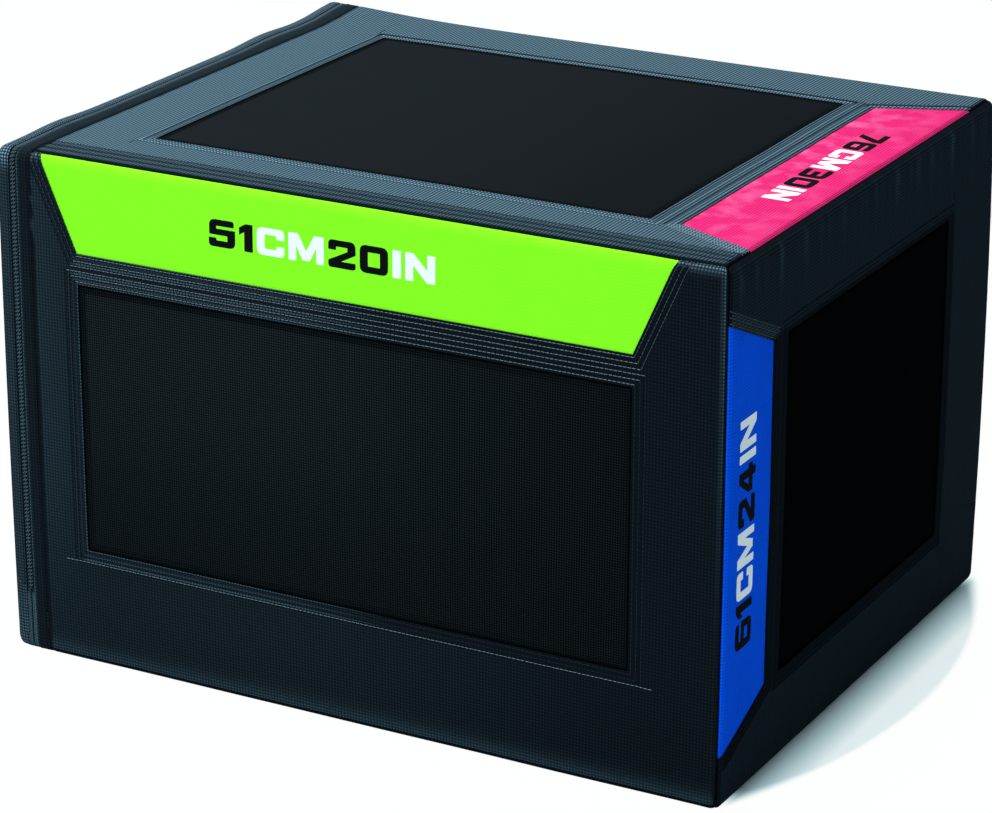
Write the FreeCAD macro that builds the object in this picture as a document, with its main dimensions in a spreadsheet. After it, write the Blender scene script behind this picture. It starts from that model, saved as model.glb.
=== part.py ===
import FreeCAD, Part
import math
import os
import re

import Sketcher

# Sizes in mm. The origin is the middle of the underside, X runs along the box, Y to the back and Z up.
SIZES = {
    # the whole box, which is also its three jump heights
    "box_length": 760.0,
    "box_depth": 610.0,
    "box_height": 510.0,
    "edge_radius": 12.0,
    # layers, from the outside in: cover cloth, backing cloth, a little ease, foam
    "cover_thickness": 1.2,
    "backing_thickness": 1.5,
    "foam_ease": 0.3,
    "pad_thickness": 40.0,
    # layout of one face: a slanted band at one edge, a square grip window below it
    "band_width": 91.5,
    "band_end_gap": 10.9,
    "side_margin": 92.0,
    "strip_width": 30.0,
    "far_margin": 120.5,
    "lap_width": 8.0,
    "window_corner_radius": 3.0,
    # zip round the left end
    "rim_flat": 5.6,
    "zip_gap": 9.0,
    "hem_width": 14.0,
    "tape_thickness": 0.8,
    "tape_foot_gap": 6.0,
    "coil_width": 2.2,
    "coil_thickness": 1.8,
    "coil_gap": 1.4,
    "coil_foot_gap": 3.0,
    # slider, parked at the foot of the back run
    "slider_length": 15.0,
    "slider_foot_gap": 30.0,
    "slider_clearance": 0.3,
    "slider_overhang": 1.2,
    "slider_shoulder": 3.0,
    "flange_width": 0.9,
    "web_thickness": 0.8,
    "web_length": 4.0,
    "upper_plate_thickness": 1.6,
    "lower_plate_thickness": 1.4,
    "relief_ease": 1.0,
    "lug_width": 2.4,
    "lug_radius": 2.0,
    "pin_radius": 0.9,
    "pin_clearance": 0.06,
    "pin_height": 2.2,
    # puller that hangs from the slider
    "puller_thickness": 1.4,
    "puller_length": 34.0,
    "puller_width": 9.0,
    "puller_tip_width": 7.0,
    "puller_corner_radius": 1.35,
    "arm_width": 1.7,
    "arm_length": 6.0,
    "arm_clearance": 0.4,
    "slot_width": 3.0,
    "slot_length": 9.0,
    "slot_margin": 4.0,
    # cloth tab sewn on the rim, beside the zip's end at the front foot
    "tab_thickness": 1.0,
    "tab_height": 58.0,
    "tab_slant": 7.0,
    # how far a cutting body reaches past what it cuts
    "cut_overrun": 5.0,
}
PLANK_COUNT = 4

# How much of the lug's radius its two upper edges are rounded by.
LUG_ROUND_SHARE = 0.9
# An edge runs along an axis if its direction shares at least this much with it.
ALIGNED_SHARE = 0.999
# A circle is drawn here first, with this radius; its constraints then take it to its place and size.
ROUGH_MIDDLE = FreeCAD.Vector(1, 1, 0)
ROUGH_RADIUS = 1

# Formulas that are used more than once, in words of the sheet.
TERMS = {
    "rim_depth": "(edge_radius + rim_flat)",
    "hem_start": "(edge_radius + rim_flat + zip_gap)",
    "band_end_inset": "(edge_radius + rim_flat + zip_gap + hem_width + band_end_gap)",
    "zip_centre": "(-box_length / 2 + edge_radius + rim_flat + zip_gap / 2)",
    "tape_inset": "(cover_thickness + backing_thickness - tape_thickness)",
    "coil_inset": "(cover_thickness + backing_thickness - tape_thickness - coil_thickness)",
    "backing_depth": "(cover_thickness + backing_thickness)",
    "foam_inset": "(cover_thickness + backing_thickness + foam_ease)",
    "tape_foot": "(edge_radius + tape_foot_gap)",
    "slider_foot": "(edge_radius + tape_foot_gap + slider_foot_gap)",
    "coil_foot": "(edge_radius + tape_foot_gap + slider_foot_gap + slider_length + coil_foot_gap)",
    "flange_outer": "(zip_gap / 2 - slider_clearance)",
    "flange_inner": "(zip_gap / 2 - slider_clearance - flange_width)",
    "plate_top": "(slider_clearance + upper_plate_thickness)",
    "lug_foot": "(slider_length / 2)",
    "arm_inner": "(lug_width / 2 + arm_clearance)",
    "arm_outer": "(lug_width / 2 + arm_clearance + arm_width)",
}

X_AXIS = FreeCAD.Vector(1, 0, 0)
Y_AXIS = FreeCAD.Vector(0, 1, 0)
Z_AXIS = FreeCAD.Vector(0, 0, 1)

# A face has its own axes: "across" runs the way its height is read, "inward" goes into the box and "up"
# points to the edge that its band lies on. Each entry holds these three, the two lengths and the middle.
FACES = {
    "front": (X_AXIS, Y_AXIS, Z_AXIS, "box_length", "box_height", ("0", "-box_depth / 2", "box_height / 2")),
    "back": (-X_AXIS, -Y_AXIS, Z_AXIS, "box_length", "box_height", ("0", "box_depth / 2", "box_height / 2")),
    "right": (Z_AXIS, -X_AXIS, -Y_AXIS, "box_height", "box_depth", ("box_length / 2", "0", "box_height / 2")),
    "left": (Z_AXIS, X_AXIS, Y_AXIS, "box_height", "box_depth", ("-box_length / 2", "0", "box_height / 2")),
    "top": (-Y_AXIS, -Z_AXIS, X_AXIS, "box_depth", "box_length", ("0", "0", "box_height")),
    "bottom": (Y_AXIS, Z_AXIS, X_AXIS, "box_depth", "box_length", ("0", "0", "0")),
}
ZIPPED_FACES = ("front", "top", "back")

doc = FreeCAD.newDocument("plyo_box")
sizes = doc.addObject("Spreadsheet::Sheet", "sizes")
for row, (alias, value) in enumerate(SIZES.items(), start=1):
    sizes.set(f"A{row}", alias)
    sizes.set(f"B{row}", str(value))
    sizes.setAlias(f"B{row}", alias)
doc.recompute()


def formula(text):
    """Writes a sum in words as an expression on the sheet."""
    for term, meaning in TERMS.items():
        text = re.sub(rf"\b{term}\b", meaning, text)
    return re.sub(r"\b[a-z]\w*_\w+\b", lambda word: f"sizes.{word.group(0)}", text)


def bind(item, **sums):
    """Binds an object's properties to sums of the sheet's sizes."""
    for name, text in sums.items():
        item.setExpression(name, formula(text))


def place(item, middle, axes=(X_AXIS, Y_AXIS, Z_AXIS)):
    """Turns an object to three axes and binds its position."""
    matrix = FreeCAD.Matrix()
    for column, axis in enumerate(axes):
        matrix.setCol(column, axis)
    item.Placement = FreeCAD.Placement(matrix)
    for letter, text in zip("xyz", middle):
        item.setExpression(f"Placement.Base.{letter}", formula(text))


def new_body(name, middle=("0", "0", "0"), axes=(X_AXIS, Y_AXIS, Z_AXIS)):
    """Adds an empty body with its own place and axes."""
    body = doc.addObject("PartDesign::Body", name)
    body.Label = name
    place(body, middle, axes)
    return body


def new_sketch(body, name, plane, offset="0"):
    """Adds a sketch on one of the body's own planes, raised along the plane's normal."""
    sketch = body.newObject("Sketcher::SketchObject", name)
    sketch.AttachmentSupport = [(next(f for f in body.Origin.OriginFeatures if f.Role == plane), "")]
    sketch.MapMode = "FlatFace"
    sketch.setExpression("AttachmentOffset.Base.z", formula(offset))
    return sketch


def draw_outline(sketch, corners):
    """Draws a closed outline of straight lines whose corners are held by sums of the sheet's sizes."""
    first = sketch.GeometryCount
    count = len(corners)
    rough = [FreeCAD.Vector(math.cos(turn), math.sin(turn)) for turn in
             (2 * math.pi * index / count for index in range(count))]
    for index in range(count):
        sketch.addGeometry(Part.LineSegment(rough[index], rough[(index + 1) % count]), False)
    for index in range(count):
        following = first + (index + 1) % count
        sketch.addConstraint(Sketcher.Constraint("Coincident", first + index, 2, following, 1))
    for index, (along_x, along_y) in enumerate(corners):
        start = rough[index]
        for kind, length, text in (("DistanceX", start.x, along_x), ("DistanceY", start.y, along_y)):
            number = sketch.addConstraint(Sketcher.Constraint(kind, -1, 1, first + index, 1, length))
            sketch.setExpression(f"Constraints[{number}]", formula(text))


def draw_circle(sketch, middle, radius):
    """Draws a circle whose middle and radius are held by sums of the sheet's sizes."""
    number = sketch.addGeometry(Part.Circle(ROUGH_MIDDLE, Z_AXIS, ROUGH_RADIUS), False)
    held = sketch.addConstraint(Sketcher.Constraint("Radius", number, ROUGH_RADIUS))
    sketch.setExpression(f"Constraints[{held}]", formula(radius))
    across, along = middle
    for kind, length, text in (("DistanceX", ROUGH_MIDDLE.x, across), ("DistanceY", ROUGH_MIDDLE.y, along)):
        held = sketch.addConstraint(Sketcher.Constraint(kind, -1, 1, number, 3, length))
        sketch.setExpression(f"Constraints[{held}]", formula(text))


def pad(body, sketch, name, length, reverse=False, both_ways=False):
    """Raises a sketch by a length, to one side of its plane or half to each side."""
    feature = body.newObject("PartDesign::Pad", name)
    feature.Profile = sketch
    feature.Reversed = reverse
    if both_ways:
        feature.SideType = "Symmetric"
    bind(feature, Length=length)
    doc.recompute()
    return feature


def round_edges_along(body, base, axis, radius, name, among=None):
    """Rounds the straight edges of a feature that run along one axis of its body."""
    picked = []
    for number, edge in enumerate(base.Shape.Edges, start=1):
        ends = edge.Vertexes
        if len(ends) != 2 or not isinstance(edge.Curve, Part.Line):
            continue
        run = (ends[1].Point - ends[0].Point).normalize()
        if abs(run.dot(axis)) > ALIGNED_SHARE and (among is None or among(edge.CenterOfMass)):
            picked.append(f"Edge{number}")
    feature = body.newObject("PartDesign::Fillet", name)
    feature.Base = (base, picked)
    bind(feature, Radius=radius)
    doc.recompute()
    return feature


def boolean(kind, name, base, tool):
    """Cuts one object by another, or keeps what they have in common."""
    result = doc.addObject(f"Part::{kind}", name)
    result.Label = name
    result.Base = base
    result.Tool = tool
    return result


def new_box(name, low, high):
    """Adds a box between two corners given as sums."""
    box = doc.addObject("Part::Box", name)
    box.Label = name
    place(box, low)
    bind(box, **{side: f"({top}) - ({bottom})" for side, bottom, top in
                 zip(("Length", "Width", "Height"), low, high)})
    return box


def rounded_block(name, inset):
    """The box's outer form moved inwards by an inset, with every edge rolled."""
    body = new_body(name)
    sketch = new_sketch(body, f"{name}_outline", "XY_Plane", inset)
    half_length = f"box_length / 2 - ({inset})"
    half_depth = f"box_depth / 2 - ({inset})"
    draw_outline(sketch, [(f"-({half_length})", f"-({half_depth})"), (half_length, f"-({half_depth})"),
                          (half_length, half_depth), (f"-({half_length})", half_depth)])
    block = pad(body, sketch, f"{name}_block", f"box_height - 2 * ({inset})")
    roll = body.newObject("PartDesign::Fillet", f"{name}_roll")
    roll.Base = (block, [f"Edge{number}" for number in range(1, len(block.Shape.Edges) + 1)])
    bind(roll, Radius=f"edge_radius - ({inset})")
    doc.recompute()
    return body


def slab(name, low_x, high_x, low_z="-cut_overrun"):
    """A cutting slab across the whole box between two planes of X."""
    return new_box(name, (low_x, "-box_depth / 2 - cut_overrun", low_z),
                   (high_x, "box_depth / 2 + cut_overrun", "box_height + cut_overrun"))


# Closed forms that the layers are cut from.
outer_block = rounded_block("outer_block", "0")
cover_block = rounded_block("cover_block", "cover_thickness")
backing_block = rounded_block("backing_block", "backing_depth")
coil_block = rounded_block("coil_block", "coil_inset")
tape_block = rounded_block("tape_block", "tape_inset")
foam_block = rounded_block("foam_block", "foam_inset")
tab_block = rounded_block("tab_block", "-tab_thickness")

cover_layer = boolean("Cut", "cover_layer", outer_block, cover_block)
backing_layer = boolean("Cut", "backing_layer", cover_block, backing_block)
coil_layer = boolean("Cut", "coil_layer", coil_block, tape_block)
tape_layer = boolean("Cut", "tape_layer", tape_block, backing_block)
tab_layer = boolean("Cut", "tab_layer", tab_block, outer_block)

zip_opening = slab("zip_opening", "-box_length / 2 - cut_overrun", "-box_length / 2 + hem_start")
rim_slab = slab("rim_slab", "-box_length / 2 - cut_overrun", "-box_length / 2 + rim_depth")

nodes = []


def keep(item, label):
    """Names a finished piece and lists it for writing."""
    item.Label = label
    nodes.append(item)
    return item


def mitre_wedge(face):
    """The part of the box that belongs to one face: a frustum whose sides lean in at 45 degrees."""
    across, inward, up, width, height, middle = FACES[face]
    wedge = doc.addObject("Part::Wedge", f"{face}_wedge")
    place(wedge, middle, (across, inward, up))
    bind(wedge, Xmin=f"-{width} / 2", Xmax=f"{width} / 2", Zmin=f"-{height} / 2", Zmax=f"{height} / 2",
         Ymin="0", Ymax="edge_radius",
         X2min=f"-{width} / 2 + edge_radius", X2max=f"{width} / 2 - edge_radius",
         Z2min=f"-{height} / 2 + edge_radius", Z2max=f"{height} / 2 - edge_radius")
    return wedge


def band_prism(face, name, grow):
    """The slanted band's outline through the cloth, grown on its three sewn sides."""
    across, inward, up, width, height, middle = FACES[face]
    slope = "((side_margin - band_end_inset) / band_width)"
    spread = f"({grow}) * sqrt(1 + {slope} ^ 2)"
    short_half = f"({width} / 2 - side_margin - {slope} * ({grow}) + {spread})"
    long_half = f"({width} / 2 - band_end_inset + {slope} * cut_overrun + {spread})"
    low = f"{height} / 2 - band_width - ({grow})"
    high = f"{height} / 2 + cut_overrun"
    body = new_body(name, middle, (across, inward, up))
    sketch = new_sketch(body, f"{name}_outline", "XZ_Plane", "cut_overrun")
    draw_outline(sketch, [(f"-{short_half}", low), (short_half, low),
                          (long_half, high), (f"-{long_half}", high)])
    pad(body, sketch, f"{name}_prism", "cut_overrun + edge_radius", reverse=True)
    return body


def grip_prism(face, name, grow, start, length):
    """The grip window's outline with small round corners, as a plate that starts at a depth."""
    across, inward, up, width, height, middle = FACES[face]
    half = f"({width} / 2 - side_margin + ({grow}))"
    low = f"-{height} / 2 + far_margin - ({grow})"
    high = f"{height} / 2 - band_width - strip_width + ({grow})"
    body = new_body(name, middle, (across, inward, up))
    sketch = new_sketch(body, f"{name}_outline", "XZ_Plane", f"-({start})")
    draw_outline(sketch, [(f"-{half}", low), (half, low), (half, high), (f"-{half}", high)])
    plate = pad(body, sketch, f"{name}_plate", length, reverse=True)
    round_edges_along(body, plate, Y_AXIS, f"window_corner_radius + ({grow})", f"{name}_corners")
    return body


def build_face(face):
    """Makes a face's cover panel, its band and its grip insert."""
    wedge = mitre_wedge(face)
    whole = boolean("Common", f"{face}_whole", cover_layer, wedge)
    with_band = boolean("Cut", f"{face}_with_band", whole, band_prism(face, f"{face}_band_window", "0"))
    window = grip_prism(face, f"{face}_grip_window", "0", "-cut_overrun", "2 * cut_overrun")
    panel = boolean("Cut", f"{face}_with_windows", with_band, window)
    if face in ZIPPED_FACES:
        panel = boolean("Cut", f"{face}_hemmed", panel, zip_opening)
    keep(panel, f"{face}_panel")
    backing = boolean("Common", f"{face}_backing", backing_layer, wedge)
    band = boolean("Common", f"{face}_band_cloth", backing, band_prism(face, f"{face}_band_cut", "lap_width"))
    keep(band, f"{face}_band")
    grip = grip_prism(face, f"{face}_grip_plate", "lap_width", "cover_thickness", "backing_thickness")
    keep(grip, f"{face}_grip")
    return wedge


wedges = {face: build_face(face) for face in FACES}

# The flap's rim: the cover's left end without the end face and without the floor.
rim_ring = boolean("Common", "rim_ring", cover_layer, rim_slab)
rim_open = boolean("Cut", "rim_open", rim_ring, wedges["left"])
keep(boolean("Cut", "rim_strip", rim_open, wedges["bottom"]), "flap_rim")

# Both halves of the zip go up the front, over the top and down the back.
flap_edge = "zip_centre - coil_gap / 2"
box_edge = "zip_centre + coil_gap / 2"
for side, layer, part_name, low, high, foot in (
    ("flap", tape_layer, "tape", "zip_centre - zip_gap / 2 - rim_flat", flap_edge, "tape_foot"),
    ("box", tape_layer, "tape", box_edge, "zip_centre + zip_gap / 2 + hem_width", "tape_foot"),
    ("flap", coil_layer, "coil", f"{flap_edge} - coil_width", flap_edge, "coil_foot"),
    ("box", coil_layer, "coil", box_edge, f"{box_edge} + coil_width", "coil_foot"),
):
    cutter = slab(f"zip_{part_name}_{side}_slab", low, high, foot)
    keep(boolean("Common", f"zip_{part_name}_{side}_run", layer, cutter), f"zip_{part_name}_{side}")

# End tab: cloth folded round the rolled edge of the rim beside the zip's front end, with a slanted top.
tab_cut = new_body("tab_cut", ("0", "-box_depth / 2", "0"))
tab_sketch = new_sketch(tab_cut, "tab_outline", "XZ_Plane", "2 * tab_thickness")
tab_low = "tape_foot"
tab_left = "-box_length / 2 + edge_radius / 2"
tab_right = "-box_length / 2 + rim_depth"
draw_outline(tab_sketch, [(tab_left, tab_low), (tab_right, tab_low),
                          (tab_right, f"{tab_low} + tab_height - tab_slant"),
                          (tab_left, f"{tab_low} + tab_height")])
pad(tab_cut, tab_sketch, "tab_prism", "2 * tab_thickness + edge_radius", reverse=True)
keep(boolean("Common", "end_tab", tab_layer, tab_cut), "zip_end_tab")

# Slider: two plates joined by a web that runs in the gap between the coils.
slider = new_body("slider", ("zip_centre", "box_depth / 2", "slider_foot"))
plate_sketch = new_sketch(slider, "upper_plate_outline", "XZ_Plane", "-slider_clearance")
half_plate = "(zip_gap / 2 + slider_overhang)"
draw_outline(plate_sketch, [(f"-{half_plate} + slider_shoulder / 2", "0"),
                            (f"{half_plate} - slider_shoulder / 2", "0"),
                            (half_plate, "slider_shoulder"), ("flange_outer", "slider_length"),
                            ("-flange_outer", "slider_length"), (f"-{half_plate}", "slider_shoulder")])
pad(slider, plate_sketch, "upper_plate", "upper_plate_thickness", reverse=True)
flange_sketch = new_sketch(slider, "flange_outline", "XZ_Plane", "-slider_clearance")
for sign in ("-1", "1"):
    draw_outline(flange_sketch, [(f"{sign} * flange_inner", "0"), (f"{sign} * flange_outer", "0"),
                                 (f"{sign} * flange_outer", "slider_length"),
                                 (f"{sign} * flange_inner", "slider_length")])
pad(slider, flange_sketch, "flanges", "tape_inset")
web_sketch = new_sketch(slider, "web_outline", "XZ_Plane", "-slider_clearance")
draw_outline(web_sketch, [("-web_thickness / 2", "0"), ("web_thickness / 2", "0"),
                          ("web_thickness / 2", "web_length"), ("-web_thickness / 2", "web_length")])
pad(slider, web_sketch, "web", "slider_clearance + backing_depth + slider_clearance")
floor_sketch = new_sketch(slider, "lower_plate_outline", "XZ_Plane", "backing_depth + slider_clearance")
draw_outline(floor_sketch, [("-flange_outer", "0"), ("flange_outer", "0"), ("flange_outer", "slider_length"),
                            ("-flange_outer", "slider_length")])
pad(slider, floor_sketch, "lower_plate", "lower_plate_thickness")
lug_sketch = new_sketch(slider, "lug_outline", "YZ_Plane")
lug_top = "plate_top + pin_height + lug_radius"
lug_root = "plate_top - upper_plate_thickness / 2"
draw_outline(lug_sketch, [(lug_root, "lug_foot - lug_radius"), (lug_top, "lug_foot - lug_radius"),
                          (lug_top, "lug_foot + lug_radius"), (lug_root, "lug_foot + lug_radius")])
lug = pad(slider, lug_sketch, "lug", "lug_width", both_ways=True)
lug_height = sizes.slider_clearance + sizes.upper_plate_thickness + sizes.pin_height
round_edges_along(slider, lug, X_AXIS, f"{LUG_ROUND_SHARE} * lug_radius", "lug_round",
                  among=lambda middle: middle.y > lug_height and abs(middle.x) < sizes.lug_width)
eye_sketch = new_sketch(slider, "pin_eye_outline", "YZ_Plane")
draw_circle(eye_sketch, ("plate_top + pin_height", "lug_foot"), "pin_radius + pin_clearance")
eye = slider.newObject("PartDesign::Pocket", "pin_eye")
eye.Profile = eye_sketch
eye.SideType = "Symmetric"
bind(eye, Length="2 * lug_width")
doc.recompute()
keep(slider, "zip_slider")

# Puller: a tab on two arms, with a pin between them that turns in the slider's lug.
puller = new_body("puller", ("zip_centre", "box_depth / 2 + plate_top + pin_height", "slider_foot + lug_foot"))
tab_face = new_sketch(puller, "puller_outline", "XZ_Plane")
arm_root = "-arm_length - arm_width"
draw_outline(tab_face, [("-arm_outer", "pin_radius"), ("-arm_inner", "pin_radius"),
                        ("-arm_inner", "-arm_length"), ("arm_inner", "-arm_length"),
                        ("arm_inner", "pin_radius"), ("arm_outer", "pin_radius"),
                        ("puller_width / 2", arm_root), ("puller_tip_width / 2", "-puller_length"),
                        ("-puller_tip_width / 2", "-puller_length"), ("-puller_width / 2", arm_root)])
slot_low = "-puller_length + slot_margin"
slot_high = f"{slot_low} + slot_length"
draw_outline(tab_face, [("-slot_width / 2", slot_low), ("slot_width / 2", slot_low),
                        ("slot_width / 2", slot_high), ("-slot_width / 2", slot_high)])
pad(puller, tab_face, "puller_plate", "puller_thickness", both_ways=True)
pin_sketch = new_sketch(puller, "pin_outline", "YZ_Plane")
draw_circle(pin_sketch, ("0", "0"), "pin_radius")
pin = pad(puller, pin_sketch, "pin", "2 * arm_outer", both_ways=True)
tip_line = -sizes.arm_length - 2 * sizes.arm_width
round_edges_along(puller, pin, Y_AXIS, "puller_corner_radius", "puller_corners",
                  among=lambda middle: middle.z < tip_line)
keep(puller, "zip_puller")

# Foam: boards behind the six faces and planks between them, with a shallow groove for the slider's lower
# plate and two corners cut back where the flap's rim turns as it folds down.
groove_slab = slab("groove_slab", "zip_centre - flange_outer - relief_ease",
                   "zip_centre + flange_outer + relief_ease", "tape_foot")
groove_depth = "(foam_inset + lower_plate_thickness + relief_ease)"
groove_core = new_box("groove_core", ("-box_length / 2", f"-box_depth / 2 + {groove_depth}", "0"),
                      ("box_length / 2", f"box_depth / 2 - {groove_depth}", f"box_height - {groove_depth}"))
groove = boolean("Cut", "groove", groove_slab, groove_core)
foam = boolean("Cut", "foam_with_groove", foam_block, groove)
for corner, low, high in (("front", "-box_depth / 2", "-box_depth / 2 + edge_radius"),
                          ("back", "box_depth / 2 - edge_radius", "box_depth / 2")):
    notch = new_box(f"{corner}_notch", ("-box_length / 2", low, "0"),
                    ("-box_length / 2 + rim_depth", high, "tape_foot"))
    foam = boolean("Cut", f"foam_{corner}_cut", foam, notch)

reach = "(foam_inset + pad_thickness)"
low_x, high_x = f"-box_length / 2 + {reach}", f"box_length / 2 - {reach}"
low_y, high_y = f"-box_depth / 2 + {reach}", f"box_depth / 2 - {reach}"
low_z, high_z = reach, f"box_height - {reach}"
far_x, far_y = "box_length / 2", "box_depth / 2"
for label, low, high in (
    ("top_pad", (f"-{far_x}", f"-{far_y}", high_z), (far_x, far_y, "box_height")),
    ("bottom_pad", (f"-{far_x}", f"-{far_y}", "0"), (far_x, far_y, low_z)),
    ("front_pad", (f"-{far_x}", f"-{far_y}", low_z), (far_x, low_y, high_z)),
    ("back_pad", (f"-{far_x}", high_y, low_z), (far_x, far_y, high_z)),
    ("left_pad", (f"-{far_x}", low_y, low_z), (low_x, high_y, high_z)),
    ("right_pad", (high_x, low_y, low_z), (far_x, high_y, high_z)),
):
    keep(boolean("Common", f"{label}_foam", foam, new_box(f"{label}_space", low, high)), label)
plank_rise = f"((box_height - 2 * {reach}) / {PLANK_COUNT})"
for number in range(PLANK_COUNT):
    plank = new_box(f"plank_{number + 1}", (low_x, low_y, f"{low_z} + {number} * {plank_rise}"),
                    (high_x, high_y, f"{low_z} + {number + 1} * {plank_rise}"))
    keep(plank, f"core_plank_{number + 1}")

doc.recompute()
for item in doc.Objects:
    if "Invalid" in item.State or "Error" in item.State:
        raise RuntimeError(f"{item.Label} could not be computed: {item.State}")
os.makedirs("parts", exist_ok=True)
for node in nodes:
    shape = node.Shape
    if shape.isNull() or not shape.isValid() or not shape.Solids:
        raise RuntimeError(f"{node.Label} has no valid solid")
    shape.exportStep(f"parts/{node.Label}.step")
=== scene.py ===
import logging
import math
from collections.abc import Callable
from dataclasses import dataclass
from enum import Enum

import bpy
import numpy as np
from mathutils import Matrix, Vector


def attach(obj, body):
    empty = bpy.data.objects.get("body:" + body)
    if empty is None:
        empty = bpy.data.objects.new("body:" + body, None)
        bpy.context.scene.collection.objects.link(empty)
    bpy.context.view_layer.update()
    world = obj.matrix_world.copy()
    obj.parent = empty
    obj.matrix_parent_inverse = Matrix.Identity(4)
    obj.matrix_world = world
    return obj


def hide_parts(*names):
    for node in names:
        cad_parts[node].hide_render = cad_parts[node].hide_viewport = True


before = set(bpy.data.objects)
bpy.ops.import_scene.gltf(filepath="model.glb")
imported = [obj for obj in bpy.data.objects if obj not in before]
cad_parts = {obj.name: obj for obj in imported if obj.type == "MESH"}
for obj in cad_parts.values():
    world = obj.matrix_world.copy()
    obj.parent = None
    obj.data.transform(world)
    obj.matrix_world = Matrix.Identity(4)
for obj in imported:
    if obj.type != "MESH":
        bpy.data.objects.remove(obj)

LOG = logging.getLogger("jump_box")
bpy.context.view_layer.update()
MM = 0.001


class Side(Enum):
    """The six faces of the box, named as they stand in the photograph."""

    FRONT = "front"
    BACK = "back"
    RIGHT = "right"
    LEFT = "left"
    TOP = "top"
    BOTTOM = "bottom"


# Opposite faces are alike, so each goes by the one of the pair that the photograph shows.
PAIRS = {Side.FRONT: Side.FRONT, Side.BACK: Side.FRONT, Side.RIGHT: Side.RIGHT, Side.LEFT: Side.RIGHT,
         Side.TOP: Side.TOP, Side.BOTTOM: Side.TOP}


class Edge(Enum):
    """The four edges of a face in its own axes."""

    LOW_ACROSS = "low_across"
    HIGH_ACROSS = "high_across"
    LOW_UP = "low_up"
    HIGH_UP = "high_up"


ACROSS_EDGES = (Edge.LOW_ACROSS, Edge.HIGH_ACROSS)
# Start and end of straight rows of stitching, as flat places.
Rows = list[tuple[np.ndarray, np.ndarray]]


@dataclass(frozen=True)
class BoxForm:
    """Outer form of the stuffed box, in millimetres."""

    length: float = 760.0
    depth: float = 610.0
    height: float = 510.0
    edge_radius: float = 12.0
    side_belly: float = 2.2
    top_crown: float = 1.5
    zip_from_edge: float = 22.1
    side_turn: float = 65.0
    flat_until: tuple[float, float] = (-340.0, -200.0)
    corner_lift: float = 6.5
    corner_reach: tuple[float, float] = (105.0, 55.0)
    # Soft waves of the upper left edge: lift, distance from the back and half width.
    edge_waves: tuple[tuple[float, float, float], ...] = ((3.2, 150.0, 45.0), (2.4, 520.0, 40.0))
    wave_reach: float = 26.0

    @property
    def zip_x(self) -> float:
        """X of the zip's middle line."""
        return -self.length / 2 + self.zip_from_edge

    def belly(self, points: np.ndarray) -> np.ndarray:
        """Lets the foam push the cover out a little between its edges.

        The sides move out by a parabola over the height and the top rises by a parabola over both of its
        directions. The left end stays flat, because it folds down onto the floor, and so does the back beside
        it, because the zip slider runs there. The zip pulls the upper left edge into a few soft waves, bell
        curves along it, and its back corner stands up.

        Args:
            points: Positions in millimetres, last axis x, y, z.

        Returns:
            The moved positions.
        """
        x, y, z = points[..., 0], points[..., 1], points[..., 2]
        over_x, over_y = 2 * x / self.length, 2 * y / self.depth
        rise = np.clip(1 - (2 * z / self.height - 1) ** 2, 0, 1)
        push_x = self.side_belly * over_x * rise * (x > 0)
        push_y = self.side_belly * over_y * rise * np.where(y < 0, 1, smooth_step(x, *self.flat_until))
        crown = self.top_crown * np.clip(1 - over_x ** 2, 0, 1) * np.clip(1 - over_y ** 2, 0, 1)
        from_end, from_back = x + self.length / 2, self.depth / 2 - y
        corner = self.corner_lift * bell(from_end, self.corner_reach[0]) * bell(from_back, self.corner_reach[1])
        waves = sum(lift * bell(from_back - at, wide) for lift, at, wide in self.edge_waves)
        lift = corner + waves * bell(from_end, self.wave_reach)
        push_z = (crown + lift) * np.clip(z / self.height, 0, 1) ** 4
        return points + np.stack([push_x, push_y, push_z], axis=-1)


@dataclass(frozen=True)
class GridSteps:
    """Steps between a face's grid lines, and how far the finer ones reach, in millimetres."""

    coarse: float = 4.5
    window: float = 5.5
    band: float = 4.0
    row: float = 0.75
    slanted_row: float = 0.85
    edge: float = 1.0
    ruled: float = 3.5
    insert: float = 7.0
    tucked: float = 0.8
    past_rows: float = 3.5
    hem_reach: float = 15.0
    roll_reach: float = 13.0
    tuck_reach: float = 9.0


@dataclass(frozen=True)
class FaceLayout:
    """Where a face's windows, hems and rows of stitching lie, in millimetres."""

    band_width: float = 91.5
    band_end_inset: float = 51.5
    side_margin: float = 92.0
    strip_width: float = 30.0
    far_margin: float = 120.5
    lap: float = 5.0
    hem_from_edge: float = 26.6
    hem_width: float = 14.0
    hem_drop: float = 0.95
    window_rows: tuple[float, ...] = (2.6, 7.6, 12.6)
    row_overrun: float = 12.0
    cloth: float = 1.0
    backing_level: float = -1.2
    swell: float = 0.35
    fold_height: float = 0.28
    # Depth and half width of the furrows along a window's rows, a seam and an edge's rows.
    row_furrow: tuple[float, float] = (0.8, 1.1)
    seam_furrow: tuple[float, float] = (0.9, 1.4)
    edge_row_furrow: tuple[float, float] = (0.5, 0.9)
    # How near to a folded edge the cloth turns down, and by how much.
    folded: tuple[float, float] = (0.9, 0.45)
    row_clear: float = 4.0
    steps: GridSteps = GridSteps()


@dataclass(frozen=True)
class FaceAxes:
    """A face's own axes: across is the reading direction, up points to the band's edge."""

    side: Side
    across: tuple[float, float, float]
    inward: tuple[float, float, float]
    up: tuple[float, float, float]
    width: float
    height: float
    middle: tuple[float, float, float]


def smooth_step(value: np.ndarray, low: float, high: float) -> np.ndarray:
    """Goes from 0 at low to 1 at high along a cubic with level ends."""
    share = np.clip((value - low) / (high - low), 0, 1)
    return share * share * (3 - 2 * share)


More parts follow.
